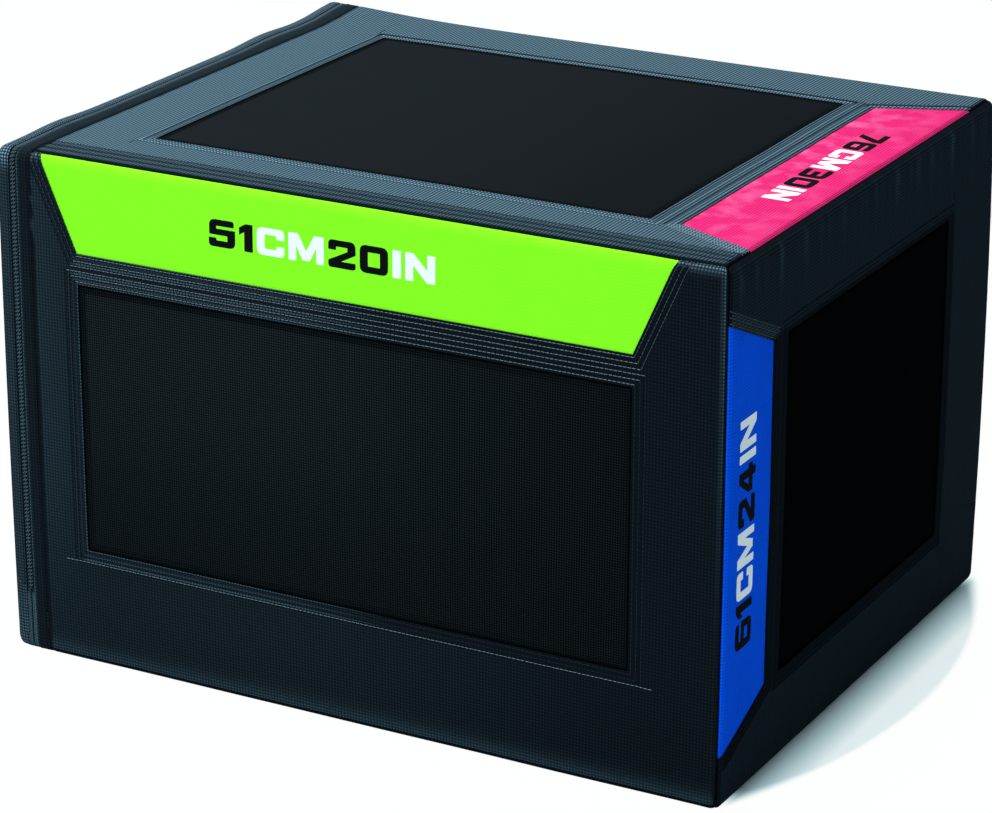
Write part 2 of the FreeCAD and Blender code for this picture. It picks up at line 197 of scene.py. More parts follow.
def ripple(along: np.ndarray, seed: int, lengths: tuple[float, ...]) -> np.ndarray:
    """Uneven waves: a sum of sines of the given wave lengths with seeded phases, about -1 to 1."""
    random = np.random.default_rng(seed)
    total = np.zeros_like(along)
    for length in lengths:
        total = total + np.sin(2 * np.pi * along / length + random.uniform(0, 2 * np.pi))
    return total / len(lengths)


def bell(distance: np.ndarray, width: float) -> np.ndarray:
    """A bell curve: e to the minus square of the distance as a share of the width."""
    return np.exp(-((distance / width) ** 2))


def groove(distance: np.ndarray, at: float, depth: float, width: float) -> np.ndarray:
    """A rounded furrow: minus depth times a bell curve of the distance from its middle."""
    return -depth * bell(distance - at, width)


def folded_edge(distance: np.ndarray, reach: float, drop: float) -> np.ndarray:
    """How far the cloth turns down at a folded edge: a quarter circle within reach of it."""
    inside = np.clip(1 - np.abs(distance) / reach, 0, 1)
    return -drop * (1 - np.sqrt(1 - inside ** 2))


def gathered(start: float, stop: float, zones: list[tuple[float, float, float]], coarse: float) -> np.ndarray:
    """Grid lines from start to stop that gather where the cloth has detail.

    The count of lines between two places is the integral of one over the wanted step.

    Args:
        start: First line.
        stop: Last line.
        zones: Stretches (low, high, step) with a finer step.
        coarse: The step everywhere else.

    Returns:
        The places of the lines.
    """
    places = np.linspace(start, stop, 6001)
    step = np.full_like(places, coarse)
    for low, high, fine in zones:
        step = np.where((places >= low) & (places <= high), np.minimum(step, fine), step)
    weight = 0.5 * (1 / step[1:] + 1 / step[:-1]) * np.diff(places)
    counted = np.concatenate([[0.0], np.cumsum(weight)])
    count = max(2, math.ceil(counted[-1]))
    return np.interp(np.linspace(0, counted[-1], count + 1), counted, places)


def grid_quads(rows: int, columns: int, keep: np.ndarray | None = None) -> np.ndarray:
    """Corner numbers of a grid's cells, turned the way that across times up points outwards."""
    number = np.arange(rows * columns).reshape(rows, columns)
    quads = np.stack([number[:-1, :-1], number[:-1, 1:], number[1:, 1:], number[1:, :-1]], axis=-1)
    if keep is not None:
        return quads[keep]
    return quads.reshape(-1, 4)


def make_piece(name: str, points: np.ndarray, quads: np.ndarray, flat: np.ndarray | None = None,
               sheen_and_shade: np.ndarray | None = None) -> bpy.types.Object:
    """Makes a smooth mesh object at the origin from whole arrays.

    Args:
        name: The piece's name.
        points: Positions in metres.
        quads: Corner numbers, the same count for every face.
        flat: Place of each point on the flat cloth, in millimetres, kept as the UV map "cloth".
        sheen_and_shade: Kept as the attribute "sheen_and_shade": painted sheen and highlights up to 1, knobs
        pressed flat and darker down to -1, painted shade down to -2.

    Returns:
        The object, linked to the scene.
    """
    used, corners = np.unique(quads, return_inverse=True)
    corners = corners.reshape(-1)
    mesh = bpy.data.meshes.new(name)
    mesh.vertices.add(len(used))
    mesh.vertices.foreach_set("co", points.reshape(-1, 3)[used].astype(np.float32).ravel())
    mesh.loops.add(len(corners))
    mesh.loops.foreach_set("vertex_index", corners.astype(np.int32))
    mesh.polygons.add(len(quads))
    mesh.polygons.foreach_set("loop_start", np.arange(0, len(corners), quads.shape[1], dtype=np.int32))
    mesh.polygons.foreach_set("use_smooth", np.ones(len(quads), dtype=bool))
    if flat is not None:
        layer = mesh.uv_layers.new(name="cloth")
        layer.data.foreach_set("uv", flat.reshape(-1, 2)[used][corners].astype(np.float32).ravel())
    if sheen_and_shade is not None:
        painted_light_share = mesh.attributes.new("sheen_and_shade", "FLOAT", "POINT")
        painted_light_share.data.foreach_set("value", sheen_and_shade.reshape(-1)[used].astype(np.float32))
    mesh.update(calc_edges=True)
    mesh.validate()
    piece = bpy.data.objects.new(name, mesh)
    bpy.context.scene.collection.objects.link(piece)
    return piece


def lay_cloth(name: str, points: np.ndarray, a: np.ndarray, b: np.ndarray, thickness: float,
              sheen_and_shade: np.ndarray | None = None, keep: np.ndarray | None = None) -> bpy.types.Object:
    """Makes a piece of cloth from a grid of points on its outer surface.

    Args:
        name: The piece's name.
        points: Positions in metres.
        a: Flat places across, in millimetres.
        b: Flat places up.
        thickness: The cloth's thickness inwards, in millimetres.
        sheen_and_shade: How much sheen and shade is painted on it, and how far its knobs are pressed.
        keep: A mask of the cells that are cloth, or None for all.

    Returns:
        The object.
    """
    piece = make_piece(name, points, grid_quads(*a.shape, keep), np.stack([a, b], axis=-1), sheen_and_shade)
    solid = piece.modifiers.new("cloth_thickness", "SOLIDIFY")
    solid.thickness = thickness * MM
    solid.offset = -1.0
    solid.use_even_offset = False
    return piece


def fit(piece: bpy.types.Object, body: str, finish: bpy.types.Material, slot: str, *nodes: str) -> bpy.types.Object:
    """Dresses a piece, lets it ride on a body and stands it in for its CAD nodes.

    Args:
        piece: The object.
        body: The CAD body that carries it.
        finish: Its material.
        slot: The record's material slot; not used.
        nodes: CAD nodes that it replaces.

    Returns:
        The same object.
    """
    piece.data.materials.clear()
    piece.data.materials.append(finish)
    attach(piece, body)
    if nodes:
        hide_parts(*nodes)
    LOG.info("%s rides on %s", piece.name, body)
    return piece


def linear(hex_colour: str) -> tuple[float, float, float, float]:
    """Turns an sRGB hex colour into linear red, green, blue and alpha."""
    values = [int(hex_colour[start:start + 2], 16) / 255 for start in (1, 3, 5)]
    flat = [v / 12.92 if v <= 0.04045 else ((v + 0.055) / 1.055) ** 2.4 for v in values]
    return (flat[0], flat[1], flat[2], 1.0)


def add_node(tree: bpy.types.NodeTree, kind: str, *inputs: object, named: dict[str, object] | None = None,
             **settings: object) -> bpy.types.Node:
    """Adds a shader node, sets its properties and fills or links its inputs.

    Args:
        tree: The node tree.
        kind: Blender's name of the node type after "ShaderNode".
        inputs: Values, outputs or nodes for the first inputs in order. A node gives its first output in use, and
            None leaves an input as it is.
        named: The same for more inputs, by name.
        settings: Properties of the node.

    Returns:
        The node.
    """
    node = tree.nodes.new(f"ShaderNode{kind}")
    for name, value in settings.items():
        setattr(node, name, value)
    for key, value in [*enumerate(inputs), *(named or {}).items()]:
        if isinstance(value, bpy.types.Node):
            value = next(socket for socket in value.outputs if not socket.is_unavailable)
        if isinstance(value, bpy.types.NodeSocket):
            tree.links.new(value, node.inputs[key])
        elif value is not None:
            node.inputs[key].default_value = value
    return node


def blank_material(name: str) -> tuple[bpy.types.Material, bpy.types.NodeTree]:
    """Makes an empty node material."""
    material = bpy.data.materials.new(name)
    material.use_nodes = True
    material.node_tree.nodes.clear()
    return material, material.node_tree


def weave_waves(tree: bpy.types.NodeTree, place: bpy.types.Node, pitch_mm: float) -> list[bpy.types.Node]:
    """Cosines of a flat place across and up, with the pitch as wave length.

    Args:
        tree: The node tree.
        place: The node that gives the flat place in millimetres.
        pitch_mm: The wave length.

    Returns:
        The two waves.
    """
    turn = add_node(tree, "VectorMath", place, named={"Scale": 2 * math.pi / pitch_mm}, operation="SCALE")
    parts = add_node(tree, "SeparateXYZ", turn)
    return [add_node(tree, "Math", part, operation="COSINE") for part in parts.outputs[:2]]


def shade_surface(tree: bpy.types.NodeTree, colour: bpy.types.Node, grain: bpy.types.Node, relief: bpy.types.Node,
                  relief_mm: float, roughness: tuple[float, float], specular: float, ior: float | None = None) -> None:
    """Ends a finish with its shader.

    Args:
        tree: The node tree.
        colour: The colour.
        grain: Noise that shifts the roughness.
        relief: The height that bends the light.
        relief_mm: What a height of 1 stands for.
        roughness: Roughness at the grain's low and high values.
        specular: Specular level.
        ior: Refractive index, where it isn't the shader's own.
    """
    rough = add_node(tree, "MapRange", grain, 0.3, 0.7, *roughness)
    bump = add_node(tree, "Bump", named={"Height": relief, "Strength": 1.0, "Distance": relief_mm * MM})
    shader = add_node(tree, "BsdfPrincipled", named={"Base Color": colour, "Roughness": rough, "IOR": ior,
                                                     "Specular IOR Level": specular, "Normal": bump})
    add_node(tree, "OutputMaterial", shader)


COATED_IOR = 1.53


@dataclass(frozen=True)
class MeshCloth:
    """Polyester cloth coated with PVC over an open mesh weave.

    The coating sags between the threads, so the eye sees a square grid of small satin knobs; the gaps between them
    are painted darker, as painted shade in the hollows. Along rolled edges, folds and the stood-on top the knobs are
    painted paler, as painted sheen and highlights; where the cloth is sewn down hard they are pressed flat and darker,
    and in seams and other shaded places the colour is painted darker still, as painted shade.
    """

    name: str
    knob_colour: str
    gap_colour: str
    pitch_mm: float
    knob_height_mm: float
    roughness: float
    specular: float = 0.0004
    sheen_colour: str = "#86AFC4"
    sheen_gap_colour: str = "#2B3D47"
    gap_share: float = 0.75
    gap_pale_until: float = 1.0
    gap_pale_share: float = 1.0
    bar_share: float = 0.0

    def build(self) -> bpy.types.Material:
        """Builds the material on the piece's own flat-cloth UV map.

        The grid is the product of two raised cosines of the flat place, with the pitch as wave length; a share of
        the second one alone runs the knobs together into bars. Slow noise shifts the roughness. The attribute
        "sheen_and_shade" marks the painted sheen and highlights above 0, which fine noise breaks up, the pressed knobs
        below 0 and the painted shade below -1, which darkens the colour down to a tenth. The gaps take the darker gap
        colour, as painted shade in the hollows, and pale with the first of the painted sheen only.

        Returns:
            The material.
        """
        material, tree = blank_material(self.name)
        place = add_node(tree, "UVMap", uv_map="cloth")
        sheen_and_shade = add_node(tree, "Attribute", attribute_name="sheen_and_shade").outputs["Fac"]
        high_a, high_b = [add_node(tree, "Math", wave, 0.5, 0.5, operation="MULTIPLY_ADD")
                          for wave in weave_waves(tree, place, self.pitch_mm)]
        bars = add_node(tree, "Math", high_a, 1 - self.bar_share, self.bar_share, operation="MULTIPLY_ADD")
        grid = add_node(tree, "Math", bars, high_b, operation="MULTIPLY")
        raised = add_node(tree, "MapRange", sheen_and_shade, -1.0, 0.0)
        knob = add_node(tree, "Math", grid, raised, operation="MULTIPLY")
        slow = add_node(tree, "TexNoise", place, named={"Scale": 0.03, "Detail": 4.0})
        fine = add_node(tree, "TexNoise", place, named={"Scale": 0.9, "Detail": 2.0})
        shade = add_node(tree, "MapRange", knob, 0.0, self.gap_share)
        broken = add_node(tree, "MapRange", fine, 0.35, 0.65, 0.75, 1.0)
        painted_light_share = add_node(tree, "Math", sheen_and_shade, broken, operation="MULTIPLY")
        top = add_node(tree, "Mix", painted_light_share, named={"A": linear(self.knob_colour), "B": linear(self.sheen_colour)},
                       data_type="RGBA")
        sunk = add_node(tree, "MapRange", painted_light_share, 0.0, self.gap_pale_until, 0.0, self.gap_pale_share)
        gap = add_node(tree, "Mix", sunk, named={"A": linear(self.gap_colour), "B": linear(self.sheen_gap_colour)},
                       data_type="RGBA")
        colour = add_node(tree, "Mix", shade, named={"A": gap, "B": top}, data_type="RGBA")
        # Below -1 the colour is painted darker, down to a tenth: painted shade in seams and on shaded grips.
        seam = add_node(tree, "MapRange", sheen_and_shade, -2.0, -1.0, 0.1, 1.0)
        colour = add_node(tree, "VectorMath", colour, named={"Scale": seam}, operation="SCALE")
        level = add_node(tree, "Math", fine, 0.2, knob, operation="MULTIPLY_ADD")
        shade_surface(tree, colour, slow, level, self.knob_height_mm, (self.roughness - 0.05, self.roughness + 0.07),
                      self.specular, COATED_IOR)
        return material


@dataclass(frozen=True)
class BandCloth:
    """Bright PVC-coated polyester with a fine rib.

    A thick smooth coating in a strong pigment: even colour, a soft sheen and a rib that is seen only close to; the
    rib's troughs are painted in a deeper colour, as painted shade in the hollows.
    The rib is drawn at 3.2 mm, coarser than the real one, so that it shows at the picture's scale.
    """

    name: str
    colour: str
    deep_colour: str
    rib_pitch_mm: float = 3.2
    rib_height_mm: float = 0.08
    rib_share: float = 0.9
    rib_weight: float = 1.0
    thread_weight: float = 0.45
    bloom_colour: str = "#FFFFFF"
    bloom_share: float = 0.0
    bloom_span_mm: tuple[float, float] = (0.0, 1000.0)
    roughness: float = 0.48
    specular: float = 0.0005

    def build(self) -> bpy.types.Material:
        """Builds ribs along the reading direction, threads across it, a slow random mottle and pale patches of the
        pigment;
        the troughs of the weave take the deep colour, as painted shade in the hollows.

        Returns:
            The material.
        """
        material, tree = blank_material(self.name)
        place = add_node(tree, "UVMap", uv_map="cloth")
        wave_a, wave_b = weave_waves(tree, place, self.rib_pitch_mm)
        rib = add_node(tree, "Math", wave_b, self.rib_weight, operation="MULTIPLY")
        weave = add_node(tree, "Math", wave_a, self.thread_weight, rib, operation="MULTIPLY_ADD")
        slow = add_node(tree, "TexNoise", place, named={"Scale": 0.02, "Detail": 4.0})
        # The troughs of the weave take the deep colour: painted shade in the hollows.
        tint = add_node(tree, "MapRange", weave, -1.45, 0.3, self.rib_share, 0.0)
        mottle = add_node(tree, "MapRange", slow, 0.45, 0.8, 0.0, 0.18)
        depth = add_node(tree, "Math", tint, mottle, operation="ADD", use_clamp=True)
        ribbed = add_node(tree, "Mix", depth, named={"A": linear(self.colour), "B": linear(self.deep_colour)},
                          data_type="RGBA")
        patches = add_node(tree, "TexNoise", place, named={"Scale": 0.035, "Detail": 4.0})
        pale = add_node(tree, "MapRange", patches, 0.45, 0.7)
        up = add_node(tree, "SeparateXYZ", place).outputs[1]
        fade = add_node(tree, "MapRange", up, *self.bloom_span_mm, self.bloom_share, 0.0)
        bloom = add_node(tree, "Math", pale, fade, operation="MULTIPLY")
        colour = add_node(tree, "Mix", bloom, named={"A": ribbed, "B": linear(self.bloom_colour)}, data_type="RGBA")
        shade_surface(tree, colour, slow, weave, self.rib_height_mm, (self.roughness - 0.05, self.roughness + 0.07),
                      self.specular, COATED_IOR)
        return material


@dataclass(frozen=True)
class Grained:
    """A plain stuff with a small grain in Object coordinates, such as thread, ink, coil, lacquer or foam.

    The grain is noise at a real size; it shifts the colour between two tones and raises the surface.
    """

    name: str
    colour: str
    grain_colour: str
    grain_mm: float
    grain_height_mm: float
    roughness: float
    specular: float = 0.5

    def build(self) -> bpy.types.Material:
        """Builds the material.

        Returns:
            The material.
        """
        material, tree = blank_material(self.name)
        place = add_node(tree, "TexCoord").outputs["Object"]
        noise = add_node(tree, "TexNoise", place, named={"Scale": 1 / (self.grain_mm * MM), "Detail": 3.0})
        tone = add_node(tree, "MapRange", noise, 0.35, 0.65)
        colour = add_node(tree, "Mix", tone, named={"A": linear(self.colour), "B": linear(self.grain_colour)},
                          data_type="RGBA")
        shade_surface(tree, colour, noise, noise, self.grain_height_mm, (self.roughness - 0.05, self.roughness + 0.05),
                      self.specular)
        return material


class Finishes:
    """Every finish of the box, built once."""

    def __init__(self) -> None:
        """Builds the materials by the name of their use."""
        cover = MeshCloth("pvc_coated_mesh_black", knob_colour="#161D22", gap_colour="#0C1217", pitch_mm=3.2,
                          knob_height_mm=0.40, roughness=0.45, gap_pale_until=0.08, gap_pale_share=0.24).build()
        # Seen at a low angle the top's grid is finer than the picture, so it is drawn coarser, as bars.
        barred_top = MeshCloth("pvc_coated_mesh_barred", knob_colour="#131C21", gap_colour="#0B1115", pitch_mm=3.5,
                            knob_height_mm=0.40, roughness=0.45, bar_share=0.5).build()
        self.covers = {Side.FRONT: cover, Side.TOP: barred_top, Side.RIGHT: cover}
        self.grip = MeshCloth("pvc_dotted_grip_cloth_black", knob_colour="#171D21", gap_colour="#060809", pitch_mm=2.5,
                              knob_height_mm=0.20, roughness=0.70, sheen_colour="#8A9AA4",
                              sheen_gap_colour="#4A545A").build()
        green = BandCloth("pvc_coated_cloth_lime", "#87F424", "#7DEA1C", rib_share=0.25)
        pink = BandCloth("pvc_coated_cloth_pink", "#E22C75", "#A81C52", bloom_colour="#F07FB0",
                         bloom_share=0.50, bloom_span_mm=(300.0, 380.0))
        blue = BandCloth("pvc_coated_cloth_blue", "#0854E6", "#042C8C", rib_share=0.6, rib_weight=0.75,
                         thread_weight=0.75)
        self.bands = {Side.FRONT: green.build(), Side.TOP: pink.build(), Side.RIGHT: blue.build()}
        # Four tones of one thread, lit and shaded copies: the paler ones are painted highlights on rows that catch the
        # light, the darker ones painted shade on rows that lie in shade.
        self.thread, self.deep_thread, self.side_thread, self.dark_thread = (
            Grained(f"bonded_polyester_thread_{name}", colour, grain_colour, 0.5, 0.05, 0.60, 0.002).build()
            for name, colour, grain_colour in (("grey", "#93A3AB", "#6B7B84"), ("slate", "#2E373C", "#232B30"),
                                               ("steel", "#56646C", "#434F56"), ("black", "#15181B", "#0A0C0E")))
        self.dark_ink = Grained("screen_ink_black", "#0A0C0D", "#101315", 1.2, 0.02, 0.55, 0.002).build()
        self.pale_ink = Grained("screen_ink_white", "#F4F5F5", "#E6E8E9", 1.2, 0.02, 0.55, 0.002).build()
        # The weave of the tape is drawn at 1.8 mm, coarser than the real one, so that it shows.
        self.tape = MeshCloth("woven_polyester_zip_tape", knob_colour="#1E282E", gap_colour="#12191D", pitch_mm=1.8,
                              knob_height_mm=0.10, roughness=0.70).build()
        self.coil = Grained("polyester_coil_black", "#4E606A", "#33424A", 0.6, 0.03, 0.45, 0.005).build()
        self.lacquer = Grained("zinc_casting_black_lacquer", "#121416", "#1D2023", 0.9, 0.01, 0.28).build()
        self.board_foam = Grained("cut_polyethylene_foam_grey", "#5B6167", "#474D53", 1.8, 0.25, 0.85, 0.1).build()
        self.core_foam = Grained("cut_polyurethane_foam_pale", "#B9BFC4", "#9DA4AA", 1.4, 0.30, 0.9, 0.1).build()


class FaceSurface:
    """The outer surface of one face, from mitred seam to mitred seam, and what lies on it."""

    def __init__(self, form: BoxForm, layout: FaceLayout, axes: FaceAxes) -> None:
        """Works out the face's windows and limits in its own millimetres.

        Args:
            form: The whole box.
            layout: The windows, hems and rows.
            axes: This face's axes.
        """
        self.form, self.layout, self.axes = form, layout, axes
        self.pair = PAIRS[axes.side]
        self.half_width = axes.width / 2
        self.half_height = axes.height / 2
        self.grip_half = self.half_width - layout.side_margin
        self.grip_low = -self.half_height + layout.far_margin
        self.grip_high = self.half_height - layout.band_width - layout.strip_width
        self.band_low = self.half_height - layout.band_width
        self.slope = (layout.side_margin - layout.band_end_inset) / layout.band_width
        self.lean = 1 / math.hypot(1, self.slope)
        self.zip_edge = {Side.FRONT: Edge.LOW_ACROSS, Side.BACK: Edge.HIGH_ACROSS,
                         Side.TOP: Edge.LOW_UP}.get(axes.side)
        hem_a = self.half_width - layout.hem_from_edge
        hem_b = self.half_height - layout.hem_from_edge
        self.low_a = -hem_a if self.zip_edge is Edge.LOW_ACROSS else -self.reach(Edge.LOW_ACROSS)
        self.high_a = hem_a if self.zip_edge is Edge.HIGH_ACROSS else self.reach(Edge.HIGH_ACROSS)
        self.low_b = -hem_b if self.zip_edge is Edge.LOW_UP else -self.reach(Edge.LOW_UP)
        self.high_b = self.reach(Edge.HIGH_UP)
        is_top = self.pair is Side.TOP
        self.edge_rows: dict[Edge, tuple[float, ...]] = {Edge.HIGH_ACROSS: (13.0, 24.0, 35.0)} if is_top else {}
        self.band_edge_rows = (2.4, 4.8) if is_top else ()
        self.fold = {Edge.HIGH_ACROSS: 0.9} if axes.side is Side.RIGHT else {}
        # A painted sheen over the whole top face.
        self.top_sheen = 0.47 if axes.side is Side.TOP else 0.0
        far_end = Edge.LOW_ACROSS if axes.side is Side.BACK else Edge.HIGH_ACROSS
        # Painted highlights along rolled edges: their strength at the low and the high end, and the half width.
        self.edge_highlights: dict[Edge, tuple[float, float, float]] = {}
        # Painted shade along the seams: the distance in from the edge, the depth and the half width.
        self.seam_shades: dict[Edge, tuple[float, float, float]] = {Edge.HIGH_ACROSS: (0.0, 0.3, 1.8)} if is_top else {}
        if self.pair is Side.FRONT:
            self.edge_highlights = {Edge.HIGH_UP: (0.8, 0.8, 6.0), far_end: (0.04, 0.6, 4.0), Edge.LOW_UP: (0.25, 0.25, 15.0)}
            self.seam_shades = {Edge.LOW_UP: (7.2, 2.0, 1.3), Edge.HIGH_UP: (0.0, 0.6, 1.8)}
        if self.zip_edge is not None:
            self.seam_shades[self.zip_edge] = (layout.hem_width + 0.5, 0.6, 0.7)
        # A faint painted sheen over the end faces.
        self.pale = 0.03 if self.pair is Side.RIGHT else 0.0
        # Painted highlights on the ridges between the rows at the windows' high end.
        self.bright_end = {Side.TOP: 0.25, Side.RIGHT: 0.12}.get(self.pair, 0.0)

    def reach(self, edge: Edge) -> float:
        """How far from the face's middle its seam lies at an edge.

        The flat part is followed by a turn of the roll: half of the roll where two upright faces meet and all
        round the flap, but more of it for an upright face that meets the top or the underside.

        Args:
            edge: The edge.

        Returns:
            The length on the flat cloth.
        """
        across = edge in ACROSS_EDGES
        turn = 45.0
        if (self.pair is Side.FRONT and not across) or (self.axes.side is Side.RIGHT and across):
            turn = self.form.side_turn
        elif self.pair is Side.TOP and edge is not Edge.LOW_UP:
            turn = 90.0 - self.form.side_turn
        half = self.half_width if across else self.half_height
        return half - self.form.edge_radius * (1 - math.radians(turn))

    def place(self, a: np.ndarray, b: np.ndarray, height: np.ndarray) -> np.ndarray:
        """Maps flat places on the face to the rolled and bellied box.

        Past the flat part, a place is carried round the rolled edge: the core point stays at the start of the
        roll and the direction leans by the length left over divided by the radius, with the two leans combined
        as tangents, so that neighbouring faces meet on their mitre.

        Args:
            a: Flat places across, in millimetres.
            b: Flat places up.
            height: Distance out from the cover's outer surface.

        Returns:
            Positions in metres.
        """
        radius = self.form.edge_radius
        core_a = np.clip(a, -self.half_width + radius, self.half_width - radius)
        core_b = np.clip(b, -self.half_height + radius, self.half_height - radius)
        lean = np.stack([np.tan((a - core_a) / radius), np.tan((b - core_b) / radius), np.ones_like(a)], axis=-1)
        lean = lean / np.linalg.norm(lean, axis=-1, keepdims=True)
        lift = radius + height
        along = core_a + lift * lean[..., 0]
        above = core_b + lift * lean[..., 1]
        below = radius - lift * lean[..., 2]
        points = (np.array(self.axes.middle) + along[..., None] * np.array(self.axes.across)
                  + above[..., None] * np.array(self.axes.up) + below[..., None] * np.array(self.axes.inward))
        return self.form.belly(points) * MM

    def band_half(self, b: np.ndarray) -> np.ndarray:
        """Half the band window's length at a height, on its slanted ends."""
        return self.grip_half + self.slope * np.maximum(b - self.band_low, 0)

    def off_grip(self, a: np.ndarray, b: np.ndarray) -> np.ndarray:
        """Distance outside the grip window, with mitred corners."""
        return np.maximum(np.abs(a) - self.grip_half, np.maximum(self.grip_low - b, b - self.grip_high))

    def off_band(self, a: np.ndarray, b: np.ndarray) -> np.ndarray:
        """Distance outside the band window, square to its slanted ends."""
        slanted = (np.abs(a) - self.grip_half - self.slope * (b - self.band_low)) * self.lean
        return np.maximum(self.band_low - b, slanted)

    def off_edges(self, a: np.ndarray, b: np.ndarray) -> dict[Edge, np.ndarray]:
        """Distance in from each edge of the face, measured on the flat cloth."""
        return {Edge.LOW_ACROSS: a - self.low_a, Edge.HIGH_ACROSS: self.high_a - a,
                Edge.LOW_UP: b - self.low_b, Edge.HIGH_UP: self.high_b - b}

    def relief(self, a: np.ndarray, b: np.ndarray) -> np.ndarray:
        """Height that every layer of the face shares.

        Each row of stitching is a furrow, each sewn edge a deeper one. Away from an edge the cloth has folds
        square to it that fade over a hand's breadth, and the foam gives slow swells.

        Args:
            a: Flat places across.
            b: Flat places up.

        Returns:
            Height in millimetres.
        """
        layout = self.layout
        grip, band = self.off_grip(a, b), self.off_band(a, b)
        seed = list(Side).index(self.axes.side) * 10
        height = layout.swell * ripple(a, seed + 1, (190.0, 260.0)) * ripple(b, seed + 2, (170.0, 310.0))
        for row in layout.window_rows:
            height = height + groove(grip, row, *layout.row_furrow) + groove(band, row, *layout.row_furrow)
        for edge, distance in self.off_edges(a, b).items():
            if edge is self.zip_edge:
                past_hem = smooth_step(distance, layout.hem_width - 0.2, layout.hem_width + 2.2)
                height = height - layout.hem_drop * (1 - past_hem)
            else:
                height = height + groove(distance, 0.0, *layout.seam_furrow)
            for row in self.edge_rows.get(edge, ()):
                height = height + groove(distance, row, *layout.edge_row_furrow)
            along = b if edge in ACROSS_EDGES else a
            height = height + self.fold.get(edge, layout.fold_height) * self.folds(edge, distance, along)
        return height

    def near_zip(self, a: np.ndarray, b: np.ndarray, near: float, far: float) -> np.ndarray:
        """Goes from 1 at the zip's end of the box to 0 at the other, by a step between two places along X."""
        x = self.axes.middle[0] + a * self.axes.across[0] + b * self.axes.up[0]
        return 1 - smooth_step(x, near, far)

    def above_floor(self, a: np.ndarray, b: np.ndarray) -> np.ndarray:
        """Height of a flat place over the floor, in millimetres."""
        return self.axes.middle[2] + a * self.axes.across[2] + b * self.axes.up[2]

    def folds(self, edge: Edge, distance: np.ndarray, along: np.ndarray) -> np.ndarray:
        """Folds square to an edge: uneven waves along it that fade over a hand's breadth, about -1 to 1."""
        seed = list(Side).index(self.axes.side) * 10 + list(Edge).index(edge)
        fade = bell(distance, 48.0) * (1 - bell(distance, 9.0))
        return fade * ripple(along, seed + 3, (17.0, 26.0, 43.0))

    def band_height(self, a: np.ndarray, b: np.ndarray) -> np.ndarray:
        """The band's outer surface: one backing level down, pillowed, with its own furrows along the seam."""
        inside = np.clip(-self.off_band(a, b), 0, None)
        height = self.relief(a, b) + self.layout.backing_level + 0.5 * (1 - np.exp(-inside / 9.0))
        for row in self.band_edge_rows:
            height = height + groove(self.high_b - b, row, 0.35, 0.7)
        return height

    def grip_height(self, a: np.ndarray, b: np.ndarray) -> np.ndarray:
        """The grip insert's outer surface: one backing level down, pillowed over the foam."""
        inside = np.clip(-self.off_grip(a, b), 0, None)
        return self.relief(a, b) + self.layout.backing_level + 0.7 * (1 - np.exp(-inside / 16.0))

    def lines(self) -> tuple[np.ndarray, np.ndarray, tuple[int, int, int], tuple[int, int]]:
        """Rows and column shares of the face's grid.

        Returns:
            The rows' places, the columns as numbers from 0 to 3 (low border, middle, high border), the row
            numbers of the grip's two edges and the band's lower edge, and the column numbers of the windows' sides.
        """
        step = self.layout.steps
        fine = max(self.layout.window_rows) + step.past_rows
        slanted = fine * self.layout.side_margin / self.layout.band_end_inset
        below = gathered(self.low_b, self.grip_low, [(self.low_b - 1, self.low_b + step.hem_reach, step.edge),
                                                     (self.grip_low - fine, self.grip_low, step.row)], step.coarse)
        within = gathered(self.grip_low, self.grip_high, [], step.window)
        strip = gathered(self.grip_high, self.band_low, [(self.grip_high, self.band_low, step.row)], step.coarse)
        rolled = [(self.high_b - step.roll_reach, self.high_b + 1, step.edge)]
        above = gathered(self.band_low, self.high_b, rolled, step.band)
        rows = np.concatenate([below[:-1], within[:-1], strip[:-1], above])
        marks = (len(below) - 1, len(below) + len(within) - 2, len(below) + len(within) + len(strip) - 3)
        low_wide = -self.grip_half - self.low_a
        high_wide = self.high_a - self.grip_half
        fine_low = [(-1, step.hem_reach, step.edge), (low_wide - slanted, low_wide, step.slanted_row)]
        low = gathered(0, low_wide, fine_low, step.coarse) / low_wide
        middle = 1 + gathered(0, 2 * self.grip_half, [], step.window) / (2 * self.grip_half)
        seam = max(self.edge_rows.get(Edge.HIGH_ACROSS, (12.0,))) + 3.0
        fine_high = [(high_wide - seam, high_wide + 1, step.edge), (-1, slanted, step.slanted_row)]
        high = 2 + gathered(0, high_wide, fine_high, step.coarse) / high_wide
        shares = np.concatenate([low[:-1], middle[:-1], high])
        return rows, shares, marks, (len(low) - 1, len(low) + len(middle) - 2)

    def grid(self) -> tuple[np.ndarray, np.ndarray, np.ndarray]:
        """Flat places of the panel's grid and the cells that are cloth.

        The columns follow the slanted ends of the band: a share of 1 or 2 always lies on a window's side.

        Returns:
            Places across, places up and a mask of the cells outside both windows.
        """
        rows, shares, marks, sides = self.lines()
        b, share = np.meshgrid(rows, shares, indexing="ij")
        half = self.band_half(b)
        low = self.low_a + share * (-half - self.low_a)
        middle = -half + (share - 1) * 2 * half
        high = half + (share - 2) * (self.high_a - half)
        a = np.where(share <= 1, low, np.where(share <= 2, middle, high))
        keep = np.ones((len(rows) - 1, len(shares) - 1), dtype=bool)
        keep[marks[0]:marks[1], sides[0]:sides[1]] = False
        keep[marks[2]:, sides[0]:sides[1]] = False
        return a, b, keep


def capped_tubes(rings: int, count: int) -> np.ndarray:
    """Corner numbers of many six-sided tubes, each closed by two quads at either end.

    Args:
        rings: The rings of one tube.
        count: How many tubes there are.

    Returns:
        Corner numbers, wound one way for all faces.
    """
    ring, following = np.arange(6), np.roll(np.arange(6), -1)
    tube = np.stack([ring, following, following + 6, ring + 6], axis=-1)
    start = np.array([[3, 2, 1, 0], [5, 4, 3, 0]])
    stop = np.array([[0, 1, 2, 3], [0, 3, 4, 5]]) + 6 * (rings - 1)
    one = np.concatenate([*(tube + 6 * number for number in range(rings - 1)), start, stop])
    return (one[None] + 6 * rings * np.arange(count)[:, None, None]).reshape(-1, 4)


